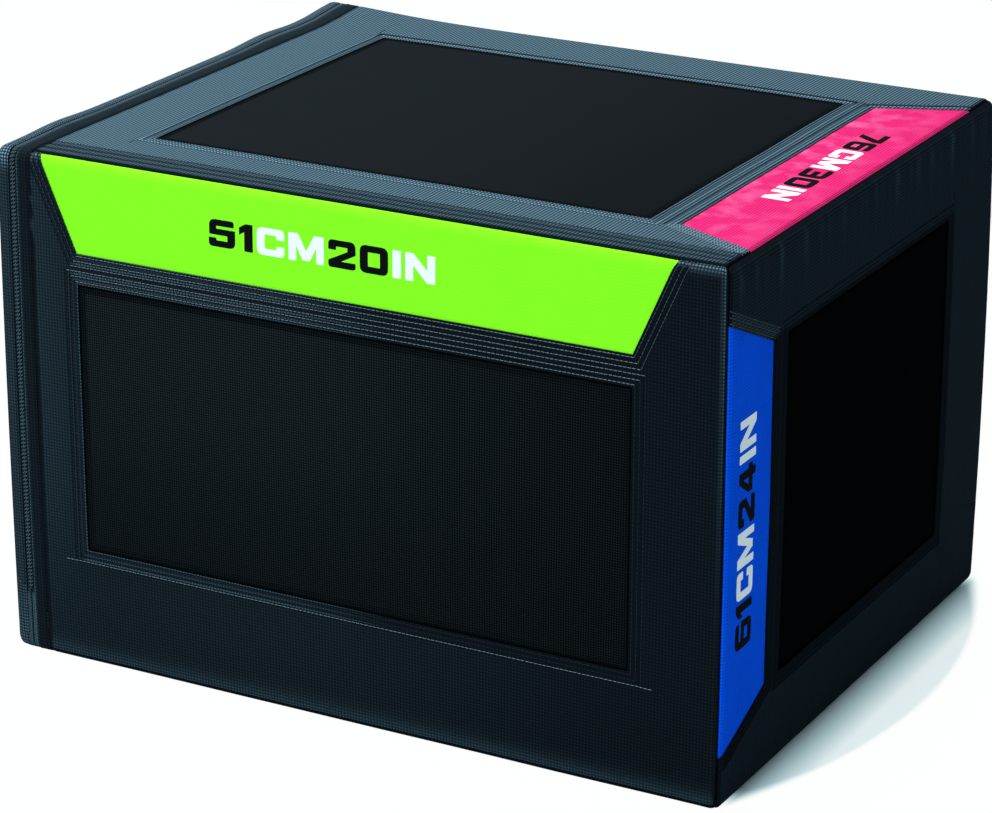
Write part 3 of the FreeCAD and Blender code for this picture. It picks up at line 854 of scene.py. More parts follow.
@dataclass(frozen=True)
class Stitch:
    """One visible stitch of thread, in millimetres: a lens with six sides."""

    pitch: float = 4.4
    length: float = 4.0
    radius: float = 0.30
    sit: float = 0.18

    def rows(self, ends: Rows) -> tuple[np.ndarray, np.ndarray]:
        """Divides straight rows into stitches.

        Args:
            ends: Start and end of each row, as flat places.

        Returns:
            The stitches' middles and directions.
        """
        middles: list[np.ndarray] = []
        leans: list[np.ndarray] = []
        for start, stop in ends:
            length = float(np.linalg.norm(stop - start))
            count = max(2, int(length / self.pitch))
            share = (np.arange(count) + 0.5) / count
            middles.append(start + share[:, None] * (stop - start))
            leans.append(np.repeat(((stop - start) / length)[None], count, axis=0))
        return np.concatenate(middles), np.concatenate(leans)

    def lenses(self, middle: np.ndarray, lean: np.ndarray) -> tuple[np.ndarray, np.ndarray, np.ndarray, np.ndarray]:
        """The skins of many stitches at once.

        Rings at four shares of the length have a narrow, a full, a full and a narrow radius and are carried round
        in six steps.

        Args:
            middle: The stitches' middles.
            lean: Their directions.

        Returns:
            Places across, places up, heights over the base and corner numbers.
        """
        turn = np.linspace(0, 2 * np.pi, 6, endpoint=False)
        wide = np.array([0.30, 0.95, 0.95, 0.30])
        along = np.repeat(np.array([-1.0, -0.62, 0.62, 1.0]) * self.length / 2, 6)
        side = np.outer(wide, np.cos(turn)).ravel() * self.radius
        rise = np.outer(wide, np.sin(turn)).ravel() * self.radius
        a = middle[:, :1] + lean[:, :1] * along - lean[:, 1:] * side
        b = middle[:, 1:] + lean[:, 1:] * along + lean[:, :1] * side
        return a, b, np.broadcast_to(rise, a.shape), capped_tubes(len(wide), len(middle))[:, ::-1]


@dataclass(frozen=True)
class Print:
    """The jump height that a face is read at, where it stands on the band in millimetres, and the band's slot."""

    words: tuple[str, ...]
    middle: float
    length: float
    letter_height: float
    rise_share: float
    slot: str


@dataclass(frozen=True)
class FacePaintedLight:
    """How much light is painted on a face, above 0, how far it is pressed and painted in shade, below 0, and over
    which stretches, in millimetres.
    """

    # Stretches along X from the zip's end, and up from the floor.
    zip_fade: tuple[float, float] = (-100.0, 330.0)
    zip_strip: tuple[float, float] = (-350.0, -260.0)
    stood_fade: tuple[float, float] = (-200.0, 600.0)
    upper: tuple[float, float] = (30.0, 230.0)
    # Painted light towards the zip's end, and on the strip beside the zip growing upwards.
    towards_zip: float = 0.025
    strip_low: float = 0.01
    strip_rise: float = 0.04
    # Painted highlights on the ribs between the rows along an edge, and on the crests of folds.
    rib_low: float = 0.20
    rib_rise: float = 0.4
    crest_highlight: float = 0.16
    # Painted highlights on the ridges and painted shade in the furrows between a window's rows, on the face that is
    # stood on and on the upright ones; painted shade on the strips far from the zip and under the band.
    stood_ridge: float = 0.06
    stood_furrow: float = 0.4
    ridge: float = 0.05
    level_ridge: float = 0.20
    furrow: float = 0.22
    far_pressed_shade: float = 0.7
    under_band: float = 0.09
    # Painted highlight on a ridge and painted shade in a furrow at the far side of the stood-on face: distance, depth
    # and half width.
    far_ridge: tuple[float, float, float] = (3.5, -0.16, 3.0)
    far_furrow: tuple[float, float, float] = (9.0, 0.5, 1.6)
    # Painted shade in the seams: distance in from the edge, depth and half width.
    seam: tuple[float, float, float] = (0.0, 2.0, 1.8)
    # On the grips: painted light towards the zip, painted sheen on the top's grip, painted shade on the end faces'
    # grips, and the painted shadow of the panel's fold along the border: distance, depth and half width.
    grip: float = 0.036
    stood_grip: float = 0.047
    end_grip: float = -1.5
    grip_border: tuple[float, float, float] = (0.0, 1.7, 2.5)


@dataclass
class SewnFace:
    """One face of the cover: windowed panel, height band, grip insert, stitching and printed height."""

    surface: FaceSurface
    body: str
    finishes: Finishes
    printed: Print
    stitch: Stitch = Stitch()
    painted_light: FacePaintedLight = FacePaintedLight()

    @property
    def name(self) -> str:
        """The face's name."""
        return self.surface.axes.side.value

    def build(self) -> None:
        """Builds the face's pieces in order."""
        self.build_panel()
        self.build_band()
        self.build_grip()
        kit = self.finishes
        # Each set of rows takes one of the thread's lit and shaded copies: painted highlights where the rows catch the
        # light, painted shade where they lie in shade.
        threads = {Side.FRONT: (kit.thread, kit.deep_thread, kit.side_thread),
                   Side.TOP: (kit.deep_thread, kit.deep_thread, kit.thread),
                   Side.RIGHT: (kit.dark_thread, kit.dark_thread, kit.side_thread)}[self.surface.pair]
        for label, rows, thread in zip(("stitching", "side_stitching", "end_stitching"), self.panel_rows(), threads):
            self.build_stitching(label, rows, thread)
        if self.surface.edge_rows:
            self.build_stitching("seam_stitching", self.seam_rows(), self.finishes.dark_thread)
        if self.surface.band_edge_rows:
            self.build_stitching("band_stitching", self.band_rows(), self.finishes.dark_thread)
        self.build_numbers()

    def build_panel(self) -> None:
        """The windowed panel: the face's grid raised by the relief, with its folded window edges rounded off.

        Within a millimetre of a window or the zip the height falls along a quarter circle.
        """
        surface = self.surface
        a, b, keep = surface.grid()
        fold = np.minimum(np.abs(surface.off_grip(a, b)), np.abs(surface.off_band(a, b)))
        if surface.zip_edge is not None:
            fold = np.minimum(fold, surface.off_edges(a, b)[surface.zip_edge])
        height = surface.relief(a, b) + folded_edge(fold, *surface.layout.folded)
        panel = lay_cloth(f"{self.name}_cover", surface.place(a, b, height), a, b, surface.layout.cloth,
                          self.painted_light_share(a, b), keep)
        fit(panel, self.body, self.finishes.covers[surface.pair], "cover_cloth", f"{self.name}_panel")
        ends = surface.grip_half + float(surface.band_half(np.array(surface.half_height)))

    def painted_light_share(self, a: np.ndarray, b: np.ndarray) -> np.ndarray:
        """How much sheen and shade is painted on the panel, and how far its knobs are pressed.

        The top, which is stood on, has a painted sheen all over, and the upright faces beside the zip a little
        painted light, by a step that fades towards the far end and on the strip beside the zip grows upwards; the end
        faces have a faint painted sheen. Rolled edges add painted highlights, a bell curve of the distance, stronger
        towards the top, and the crests of deep folds painted highlights, their square. Between the rows of stitching a
        squared sine peaks: painted highlights on the ridges, painted shade in the furrows. The strips that are sewn
        double are pressed, and far from the zip and under the band darker, as painted shade; the seams have painted
        shade.

        Args:
            a: Flat places across.
            b: Flat places up.

        Returns:
            A share: up to 1 for painted sheen and highlights, down to -1 where the knobs are pressed flat and darker,
            and to -2 for painted shade in a seam.
        """
        surface, paint = self.surface, self.painted_light
        edges = surface.off_edges(a, b)
        band = np.abs(surface.off_band(a, b))
        fold = np.minimum(np.abs(surface.off_grip(a, b)), band)
        sheen_and_shade = np.full_like(fold, surface.top_sheen)
        for edge, rows in surface.edge_rows.items():
            inner = max(rows)
            ribs = paint.rib_low + paint.rib_rise * np.sin(np.pi * (edges[edge] - inner) / (inner - rows[-2])) ** 2
            strip = 1 - smooth_step(edges[edge], inner - 1.5, inner + 1.5)
            sheen_and_shade = sheen_and_shade * (1 - strip) + surface.top_sheen * strip * ribs * smooth_step(edges[edge], 1.0, 4.0)
        near_zip = surface.near_zip(a, b, *paint.zip_fade)
        if not surface.top_sheen:
            raised = smooth_step(surface.above_floor(a, b), *paint.upper)
            beside = (paint.strip_low + paint.strip_rise * raised) * surface.near_zip(a, b, *paint.zip_strip)
            sheen_and_shade = sheen_and_shade + surface.pale + paint.towards_zip * near_zip + beside
        upwards = smooth_step(b, -0.6 * surface.half_height, surface.half_height)
        for edge, (low, high, width) in surface.edge_highlights.items():
            sheen_and_shade = sheen_and_shade + (low + (high - low) * upwards) * bell(edges[edge], width)
        for edge in surface.fold:
            sheen_and_shade = sheen_and_shade + paint.crest_highlight * np.clip(surface.folds(edge, edges[edge], b), 0, 1) ** 2
        first, second, outer = surface.layout.window_rows
        sewn = 1 - smooth_step(fold, outer, outer + 2.0)
        ridge = np.sin(np.pi * (fold - first) / (second - first)) ** 2
        low_end, high_end = (smooth_step(way * a, surface.grip_half - 6.0, surface.grip_half + 6.0) for way in (-1, 1))
        if surface.top_sheen:
            sheen_and_shade = sheen_and_shade + sewn * (paint.stood_ridge * ridge + paint.stood_furrow * surface.top_sheen * (1.4 * ridge - 1))
            sheen_and_shade = sheen_and_shade + low_end * (groove(fold, *paint.far_ridge) + groove(fold, *paint.far_furrow))
        else:
            level = 1 - smooth_step(np.abs(a), surface.grip_half, surface.grip_half + 8.0)
            flat = (1 - near_zip) * smooth_step(edges[Edge.HIGH_UP], 4.0, 12.0)
            flat = flat * (1 - high_end * (surface.bright_end > 0))
            ridges = (paint.ridge + paint.level_ridge * level) * ridge - paint.furrow * (1 - ridge)
            sheen_and_shade = sheen_and_shade + sewn * ridges * near_zip - paint.far_pressed_shade * sewn * flat
            sheen_and_shade = sheen_and_shade - paint.under_band * level * near_zip * bell(band, 7.0)
        if surface.pair is Side.RIGHT:
            sewn = 1 - smooth_step(band, outer, outer + 2.0)
        sheen_and_shade = sheen_and_shade + sewn * high_end * surface.bright_end * ridge
        for edge, distance in edges.items():
            sheen_and_shade = sheen_and_shade + groove(distance, *surface.seam_shades.get(edge, paint.seam))
        return sheen_and_shade

    def build_band(self) -> None:
        """The height band: ruled between its slanted ends, with its edges run under the panel."""
        surface = self.surface
        layout = surface.layout
        low = surface.band_low - layout.lap
        step = layout.steps
        rows = gathered(low, surface.high_b,
                        [(low, surface.band_low + 1, step.tucked),
                         (surface.high_b - step.roll_reach, surface.high_b + 1, step.tucked)], step.ruled)
        wide = 2 * float(surface.band_half(np.array(surface.half_height)))
        reach, fine = 2 * step.tuck_reach / wide, 2 * step.edge / wide
        share = gathered(-1, 1, [(-1, -1 + reach, fine), (1 - reach, 1, fine)], 2 * step.ruled / wide)
        b, across = np.meshgrid(rows, share, indexing="ij")
        a = across * (surface.band_half(b) + layout.lap / surface.lean)
        band = lay_cloth(f"{self.name}_height_band", surface.place(a, b, surface.band_height(a, b)), a, b, layout.cloth)
        fit(band, self.body, self.finishes.bands[surface.pair], self.printed.slot, f"{self.name}_band")

    def build_grip(self) -> None:
        """The grip insert: a plate of cloth with its edges run under the panel.

        On the upright faces it has painted light up and towards the zip, by steps, on the top a painted sheen that
        fades from the zip, and on the end faces painted shade; along its border lies the painted shadow of the panel's
        fold, by a bell curve.
        """
        surface, paint = self.surface, self.painted_light
        layout = surface.layout
        half = surface.grip_half + layout.lap
        low, high = surface.grip_low - layout.lap, surface.grip_high + layout.lap
        step = layout.steps
        rows, columns = (gathered(start, stop, [(start, start + step.tuck_reach, step.tucked),
                                                (stop - step.tuck_reach, stop, step.tucked)], step.insert)
                         for start, stop in ((low, high), (-half, half)))
        b, a = np.meshgrid(rows, columns, indexing="ij")
        sheen_and_shade = paint.grip * surface.near_zip(a, b, *paint.zip_fade) * (0.25 + 0.75 * smooth_step(b, low, 0.6 * high))
        if surface.top_sheen:
            sheen_and_shade = paint.stood_grip * surface.near_zip(a, b, *paint.stood_fade)
        elif surface.pair is Side.RIGHT:
            sheen_and_shade = np.full_like(a, paint.end_grip)
        sheen_and_shade = sheen_and_shade + groove(np.clip(-surface.off_grip(a, b), 0, None), *paint.grip_border)
        grip = lay_cloth(f"{self.name}_grip_cloth", surface.place(a, b, surface.grip_height(a, b)), a, b, layout.cloth,
                         sheen_and_shade)
        fit(grip, self.body, self.finishes.grip, "grip_cloth", f"{self.name}_grip")

    def panel_rows(self) -> tuple[Rows, Rows, Rows]:
        """Ends of every straight row of stitching round the two windows.

        Returns:
            The rows along the strip and the outermost one below the grip, the duller ones at its sides, and those
            at the band's high end.
        """
        surface = self.surface
        outer = max(surface.layout.window_rows)
        bright, dull, slanted = [], [], []
        for row in surface.layout.window_rows:
            half = surface.grip_half + row
            low, high = surface.grip_low - row, surface.grip_high + row
            reach = half + surface.layout.row_overrun * (row == outer)
            foot = surface.band_low - row
            end = surface.grip_half + row / surface.lean - surface.slope * row
            top = surface.high_b - 1.0
            tip = surface.grip_half + row / surface.lean + surface.slope * (top - surface.band_low)
            below = bright if row == outer else dull
            below.append((np.array([-reach, low]), np.array([reach, low])))
            bright.append((np.array([-half, high]), np.array([half, high])))
            bright.append((np.array([-end, foot]), np.array([end, foot])))
            for way, tips in ((-1, dull), (1, slanted)):
                dull.append((np.array([way * half, low]), np.array([way * half, high])))
                tips.append((np.array([way * end, foot]), np.array([way * tip, top])))
        return bright, dull, slanted

    def seam_rows(self) -> Rows:
        """Ends of the rows along the face's sewn edges.

        Returns:
            The rows.
        """
        surface = self.surface
        clear = surface.layout.row_clear
        low_b, high_b = surface.low_b + clear, surface.high_b - clear
        rows: Rows = []
        for edge, distances in surface.edge_rows.items():
            side = surface.low_a if edge is Edge.LOW_ACROSS else surface.high_a
            for distance in distances:
                at = side - math.copysign(distance, side)
                rows.append((np.array([at, low_b]), np.array([at, high_b])))
        return rows

    def band_rows(self) -> Rows:
        """Ends of the rows that run along the band's outer edge.

        Returns:
            The rows.
        """
        surface = self.surface
        clear = surface.layout.row_clear
        ends = [surface.high_b - distance for distance in surface.band_edge_rows]
        return [(np.array([surface.low_a + clear, at]), np.array([surface.high_a - clear, at])) for at in ends]

    def build_stitching(self, label: str, rows: Rows, finish: bpy.types.Material) -> None:
        """Makes the stitches of several rows one piece that follows the cloth.

        Args:
            label: What the piece is called after the face's name.
            rows: Start and end of each row.
            finish: The thread.
        """
        surface = self.surface
        middle, lean = self.stitch.rows(rows)
        across, up = middle[:, 0], middle[:, 1]
        base = np.where(surface.off_band(across, up) < 0, surface.band_height(across, up), surface.relief(across, up))
        a, b, rise, quads = self.stitch.lenses(middle, lean)
        points = surface.place(a, b, base[:, None] + self.stitch.sit + rise)
        fit(make_piece(f"{self.name}_{label}", points, quads), self.body, finish, "cover_cloth")

    def build_numbers(self) -> None:
        """Prints the jump height on the band, as thin ink that follows the cloth, dark figures and pale units."""
        surface, printed = self.surface, self.printed
        drawn = [word_mesh(word) for word in printed.words]
        wide = [float(np.ptp(points[:, 0])) for points, _ in drawn]
        stretch = printed.length / (sum(wide) + WORD_GAP * (len(drawn) - 1))
        starts = np.concatenate([[0.0], np.cumsum(np.array(wide) + WORD_GAP)[:-1]])
        middle = surface.band_low + printed.rise_share * surface.layout.band_width
        for number, (word, start, (points, corners)) in enumerate(zip(printed.words, starts, drawn)):
            a = printed.middle - printed.length / 2 + (start + points[:, 0] - points[:, 0].min()) * stretch
            b = middle + (points[:, 1] - 0.5) * printed.letter_height
            ink = self.finishes.dark_ink if word.isdigit() else self.finishes.pale_ink
            inked = make_piece(f"{self.name}_print_{number + 1}",
                               surface.place(a, b, surface.band_height(a, b) + points[:, 2]), corners)
            fit(inked, self.body, ink, printed.slot)


@dataclass(frozen=True)
class Glyph:
    """A plain block figure or capital: outlines on a unit height, and whether its outer corners are round."""

    outlines: tuple[tuple[tuple[float, float], ...], ...]
    is_round: bool = False


GLYPHS = {
    "0": Glyph((((0, 0), (1.05, 0), (1.05, 1), (0, 1)), ((.3, .24), (.3, .76), (.75, .76), (.75, .24))), True),
    "1": Glyph((((.2, 0), (.52, 0), (.52, 1), (.24, 1), (0, .84), (0, .58), (.2, .71)),)),
    "2": Glyph((((0, 0), (1.02, 0), (1.02, .24), (.47, .24), (1.02, .54), (1.02, 1), (0, 1), (0, .64), (.29, .64),
                 (.29, .77), (.72, .77), (.72, .63), (0, .25)),), True),
    "3": Glyph((((0, 0), (1.02, 0), (1.02, 1), (0, 1), (0, .77), (.72, .77), (.72, .615), (.24, .615), (.24, .385),
                 (.72, .385), (.72, .23), (0, .23)),), True),
    "4": Glyph((((.56, 0), (.86, 0), (.86, .18), (1.04, .18), (1.04, .42), (.86, .42), (.86, 1), (.48, 1), (0, .43),
                 (0, .18), (.56, .18)), ((.28, .42), (.56, .75), (.56, .42)))),
    "5": Glyph((((0, 0), (1.02, 0), (1.02, .66), (.29, .66), (.29, .77), (.97, .77), (.97, 1), (.02, 1), (.02, .44),
                 (.72, .44), (.72, .23), (.29, .23), (.29, .32), (0, .32)),), True),
    "6": Glyph((((0, 0), (1.05, 0), (1.05, .65), (.3, .65), (.3, .77), (1, .77), (1, 1), (0, 1)),
                ((.3, .22), (.3, .44), (.75, .44), (.75, .22))), True),
    "7": Glyph((((.18, 0), (.54, 0), (1, .72), (1, 1), (0, 1), (0, .76), (.65, .76)),)),
    "C": Glyph((((0, 0), (1.05, 0), (1.05, .38), (.75, .38), (.75, .24), (.3, .24), (.3, .76), (.75, .76), (.75, .62),
                 (1.05, .62), (1.05, 1), (0, 1)),), True),
    "I": Glyph((((0, 0), (.31, 0), (.31, 1), (0, 1)),)),
    "M": Glyph((((0, 0), (.29, 0), (.29, .56), (.53, .06), (.81, .06), (1.05, .56), (1.05, 0), (1.34, 0), (1.34, 1),
                 (.98, 1), (.67, .4), (.36, 1), (0, 1)),)),
    "N": Glyph((((0, 0), (.29, 0), (.29, .56), (.8, 0), (1.1, 0), (1.1, 1), (.81, 1), (.81, .44), (.3, 1), (0, 1)),)),
}


LETTER_GAP, WORD_GAP = 0.16, 0.17
ROUND_CORNER, SHARP_CORNER = 0.24, 0.025
# Ink stands a little over the cloth and starts within it, in millimetres.
INK_TOP, INK_FOOT = 0.22, -0.25


def rounded_outline(corners: np.ndarray, radius: np.ndarray) -> np.ndarray:
    """Rounds an outline's corners.

    Each corner is replaced by a quadratic curve from a point before it to a point after it, as far off as its
    radius but within half of the sides beside it.

    Args:
        corners: The outline's corners.
        radius: A radius for each corner.

    Returns:
        Points of the rounded outline.
    """
    before = np.roll(corners, 1, axis=0) - corners
    after = np.roll(corners, -1, axis=0) - corners
    long_before = np.linalg.norm(before, axis=1)
    long_after = np.linalg.norm(after, axis=1)
    cut = np.minimum(radius, 0.48 * np.minimum(long_before, long_after))
    start = corners + before * (cut / long_before)[:, None]
    stop = corners + after * (cut / long_after)[:, None]
    share = np.linspace(0, 1, 6)[None, :, None]
    curve = (1 - share) ** 2 * start[:, None] + 2 * share * (1 - share) * corners[:, None] + share ** 2 * stop[:, None]
    return curve.reshape(-1, 2)


def word_mesh(text: str) -> tuple[np.ndarray, np.ndarray]:
    """A word as a thin closed mesh, one unit high.

    Args:
        text: The word, in figures and capitals that have a glyph.

    Returns:
        Points (across, up, height in millimetres) and corner numbers.
    """
    curve = bpy.data.curves.new("word", "CURVE")
    curve.dimensions = "2D"
    curve.fill_mode = "BOTH"
    curve.extrude = 0.5
    cursor = 0.0
    for letter in text:
        glyph = GLYPHS[letter]
        for outline in glyph.outlines:
            corners = np.array(outline, dtype=float)
            at_end = np.isin(corners[:, 1], (0.0, 1.0)) & glyph.is_round
            points = rounded_outline(corners, np.where(at_end, ROUND_CORNER, SHARP_CORNER))
            spline = curve.splines.new("POLY")
            spline.points.add(len(points) - 1)
            placed = np.column_stack([points[:, 0] + cursor, points[:, 1], np.zeros(len(points)), np.ones(len(points))])
            spline.points.foreach_set("co", placed.ravel())
            spline.use_cyclic_u = True
        cursor += max(x for x, _ in glyph.outlines[0]) + LETTER_GAP
    holder = bpy.data.objects.new("word", curve)
    mesh = bpy.data.meshes.new_from_object(holder)
    points = np.empty(3 * len(mesh.vertices), dtype=np.float32)
    mesh.vertices.foreach_get("co", points)
    points = points.reshape(-1, 3).astype(float)
    points[:, 2] = np.where(points[:, 2] > 0, INK_TOP, INK_FOOT)
    mesh.calc_loop_triangles()
    corners = np.empty(3 * len(mesh.loop_triangles), dtype=np.int32)
    mesh.loop_triangles.foreach_get("vertices", corners)
    bpy.data.objects.remove(holder)
    bpy.data.curves.remove(curve)
    bpy.data.meshes.remove(mesh)
    return points, corners.reshape(-1, 3)


@dataclass(frozen=True)
class EndPath:
    """The line up the front, over the top and down the back beside the left end, with rolled corners."""

    form: BoxForm

    @property
    def marks(self) -> np.ndarray:
        """Lengths along the path where its runs and rolls begin and end."""
        radius = self.form.edge_radius
        foot, quarter = radius * math.radians(self.form.side_turn), radius * math.pi / 2
        side, across = self.form.height - 2 * radius, self.form.depth - 2 * radius
        return np.cumsum([0.0, foot, side, quarter, across, quarter, side, foot])

    def at_height(self, z: float) -> tuple[float, float]:
        """Lengths along the path where it passes a height on the front and on the back."""
        front = self.marks[1] + z - self.form.edge_radius
        return front, self.marks[-1] - front

    def place(self, along: np.ndarray, x: np.ndarray, height: np.ndarray) -> np.ndarray:
        """Maps a length along the path, an X and a height over the cover to the box.

        The core of the path goes straight between the rolls while its direction turns in them, both linear in
        the length.

        Args:
            along: Length from the front foot, in millimetres.
            x: X of the place.
            height: Distance out from the cover's outer surface.

        Returns:
            Positions in metres.
        """
        radius, marks = self.form.edge_radius, self.marks
        near, far = -self.form.depth / 2 + radius, self.form.depth / 2 - radius
        low, high = radius, self.form.height - radius
        core_y = np.interp(along, marks, [near, near, near, near, far, far, far, far])
        core_z = np.interp(along, marks, [low, low, high, high, high, high, low, low])
        foot = self.form.side_turn
        turn = np.radians(np.interp(along, marks, [-foot, 0, 0, 90, 90, 180, 180, 180 + foot]))
        lift = radius + height
        y = core_y - lift * np.cos(turn)
        z = core_z + lift * np.sin(turn)
        return self.form.belly(np.stack(np.broadcast_arrays(x, y, z), axis=-1)) * MM


@dataclass(frozen=True)
class ZipPaintedLight:
    """How much paler the zip's cloths are painted, everywhere and more at some places: painted sheen on the top
    run, painted highlights at the rim's rolled corners, along the binding's lip and round the patch's border, and
    paler towards the feet.
    """

    rim: float = 0.10
    rim_top: float = 0.5
    rim_corner: float = 0.7
    rim_foot: float = 0.2
    binding: float = 0.01
    binding_top: float = 0.04
    binding_lip: float = 0.75
    tape_foot: float = 0.34
    patch: float = 0.12
    patch_foot: float = 0.16
    patch_border: float = 0.25


@dataclass
class ZipClosure:
    """The zip round the left end: rim, binding, tapes, coil, end patch, slider and puller."""

    path: EndPath
    finishes: Finishes
    rim_flat: float = 5.6
    rim_foot: float = 5.0
    gap: float = 9.0
    binding_width: float = 13.8
    tape_level: float = -1.9
    tape_thickness: float = 0.8
    tape_foot: float = 1.0
    tape_tuck: float = 1.0
    coil_foot: float = 66.0
    coil_pitch: float = 3.8
    coil_radius: float = 0.95
    coil_rise: float = 0.95
    coil_reach: float = 2.6
    coil_mesh: float = 0.45
    coil_part: float = 0.75
    coil_slant: float = 2.4
    patch_low: float = 18.0
    patch_height: float = 58.0
    patch_slant: float = 7.0
    rim_row: float = 1.9
    lip_row: float = 1.0
    row_inset: float = 1.6
    rim_thickness: float = 1.0
    binding_thickness: float = 0.75
    patch_thickness: float = 0.8
    patch_level: float = 0.95
    # Depth and half width of furrows; how near to a folded edge the cloth turns down, and by how much.
    seam_furrow: tuple[float, float] = (0.9, 1.4)
    rim_furrow: tuple[float, float] = (0.3, 0.8)
    strip_furrow: tuple[float, float] = (0.25, 0.6)
    rim_folded: tuple[float, float] = (0.9, 0.45)
    binding_folded: tuple[float, float] = (0.7, 0.4)
    painted_light: ZipPaintedLight = ZipPaintedLight()
    stitch: Stitch = Stitch(pitch=3.6, length=2.8, radius=0.35, sit=-0.1)

    @property
    def middle(self) -> float:
        """X of the zip's middle line."""
        return self.path.form.zip_x

    def build(self) -> None:
        """Builds the zip's pieces in order."""
        self.build_rim()
        self.build_binding()
        self.build_tapes()
        self.build_coils()
        self.build_patch()
        self.dress_slider()

    def rows(self, start: float, stop: float, step: float = 4.0) -> np.ndarray:
        """Grid lines along the path, fine in the rolled corners."""
        marks = self.path.marks
        zones = [(marks[k], marks[k + 1], 0.9) for k in (0, 2, 4, 6)]
        return gathered(start, stop, zones, step)

    def on_top(self, along: np.ndarray) -> np.ndarray:
        """Goes from 0 on the upright runs of the path to 1 on the level one, by a step in each rolled corner."""
        marks = self.path.marks
        return smooth_step(along, marks[2], marks[3]) * (1 - smooth_step(along, marks[4], marks[5]))

    def rim_profile(self, width: np.ndarray) -> tuple[np.ndarray, np.ndarray]:
        """X and height of the rim at a width from its hem: flat first, then round the rolled edge."""
        radius = self.path.form.edge_radius
        edge = self.middle - self.gap / 2
        turn = np.clip(width - self.rim_flat, 0, None) / radius
        x = edge - np.minimum(width, self.rim_flat) - radius * np.sin(turn)
        return x, radius * np.cos(turn) - radius

    def build_rim(self) -> None:
        """The flap's rim: its profile carried along the path, sewn down at the end face and folded at the zip.

        It ends above the hinge line, so that its feet stay clear of the foam when the flap lies down.
        """
        wide = self.rim_flat + self.path.form.edge_radius * math.pi / 4
        across = gathered(0, wide, [], 0.8)[::-1]
        start, stop = self.rim_foot, float(self.path.marks[-1]) - self.rim_foot
        along, width = np.meshgrid(self.rows(start, stop), across, indexing="ij")
        x, level = self.rim_profile(width)
        pucker = 0.12 * ripple(along, 71, (7.0, 11.0, 19.0)) * bell(width - 3.5, 3.0)
        height = (level + groove(wide - width, 0.0, *self.seam_furrow) + groove(width, self.rim_row, *self.rim_furrow)
                  + pucker + folded_edge(width, *self.rim_folded))
        corner = bell(along - self.path.marks[2] - 4.0, 9.0) + bell(along - self.path.marks[5] + 4.0, 9.0)
        paint = self.painted_light
        # Painted sheen on the top run and painted highlights at the rolled corners; paler at the foot.
        sheen_and_shade = (paint.rim + paint.rim_top * self.on_top(along) + paint.rim_corner * corner
                + paint.rim_foot * (1 - smooth_step(along, 20.0, 50.0)))
        rim = lay_cloth("flap_rim_cloth", self.path.place(along, x, height), width, along, self.rim_thickness, sheen_and_shade)
        fit(rim, "end_flap", self.finishes.covers[Side.FRONT], "cover_cloth", "flap_rim")
        self.sew("rim_stitching", "end_flap", self.rim_row, self.rim_profile, self.finishes.dark_thread)

    def binding_profile(self, width: np.ndarray) -> tuple[np.ndarray, np.ndarray]:
        """X and height of the binding at a width from the zip: a small bead at the lip, then nearly flat."""
        x = self.middle + self.gap / 2 + width
        return x, 0.16 * bell(width - 0.9, 0.8) - 0.05

    def build_binding(self) -> None:
        """The binding over the box's hem: a narrow strip of the cover's cloth with a rounded lip along the zip."""
        across = gathered(0, self.binding_width, [], 0.6)
        along, width = np.meshgrid(self.rows(0, self.path.marks[-1]), across, indexing="ij")
        x, level = self.binding_profile(width)
        far = self.binding_width - width
        wave = 0.10 * ripple(along, 72, (13.0, 29.0, 47.0)) * np.sin(np.pi * width / self.binding_width)
        height = (level + wave + groove(far, self.row_inset, *self.strip_furrow)
                  + folded_edge(width, *self.binding_folded) + folded_edge(far, *self.binding_folded))
        paint = self.painted_light
        # Painted highlight along the lip's bead and painted sheen on the top run.
        sheen_and_shade = paint.binding + paint.binding_top * self.on_top(along) + paint.binding_lip * bell(width - 0.9, 0.7)
        binding = lay_cloth("zip_hem_binding", self.path.place(along, x, height), width, along,
                            self.binding_thickness, sheen_and_shade)
        fit(binding, "box", self.finishes.covers[Side.FRONT], "cover_cloth")
        self.sew("binding_lip_stitching", "box", self.lip_row, self.binding_profile, self.finishes.deep_thread)
        self.sew("binding_stitching", "box", self.binding_width - self.row_inset, self.binding_profile,
                 self.finishes.dark_thread)

    def sew(self, name: str, body: str, at: float, profile: Callable[[np.ndarray], tuple[np.ndarray, np.ndarray]],
            finish: bpy.types.Material) -> None:
        """Sews a row along the path at a given width of a strip.

        Args:
            name: The piece's name.
            body: The body that carries it.
            at: The row's width.
            profile: The strip's X and height as a function of width.
            finish: The thread.
        """
        end = float(self.path.marks[-1])
        middle, lean = self.stitch.rows([(np.array([at, 6.0]), np.array([at, end - 6.0]))])
        width, along, rise, quads = self.stitch.lenses(middle, lean)
        x, level = profile(width)
        points = self.path.place(along, x, level + rise + self.stitch.sit)
        fit(make_piece(name, points, quads[:, ::-1]), body, finish, "cover_cloth")

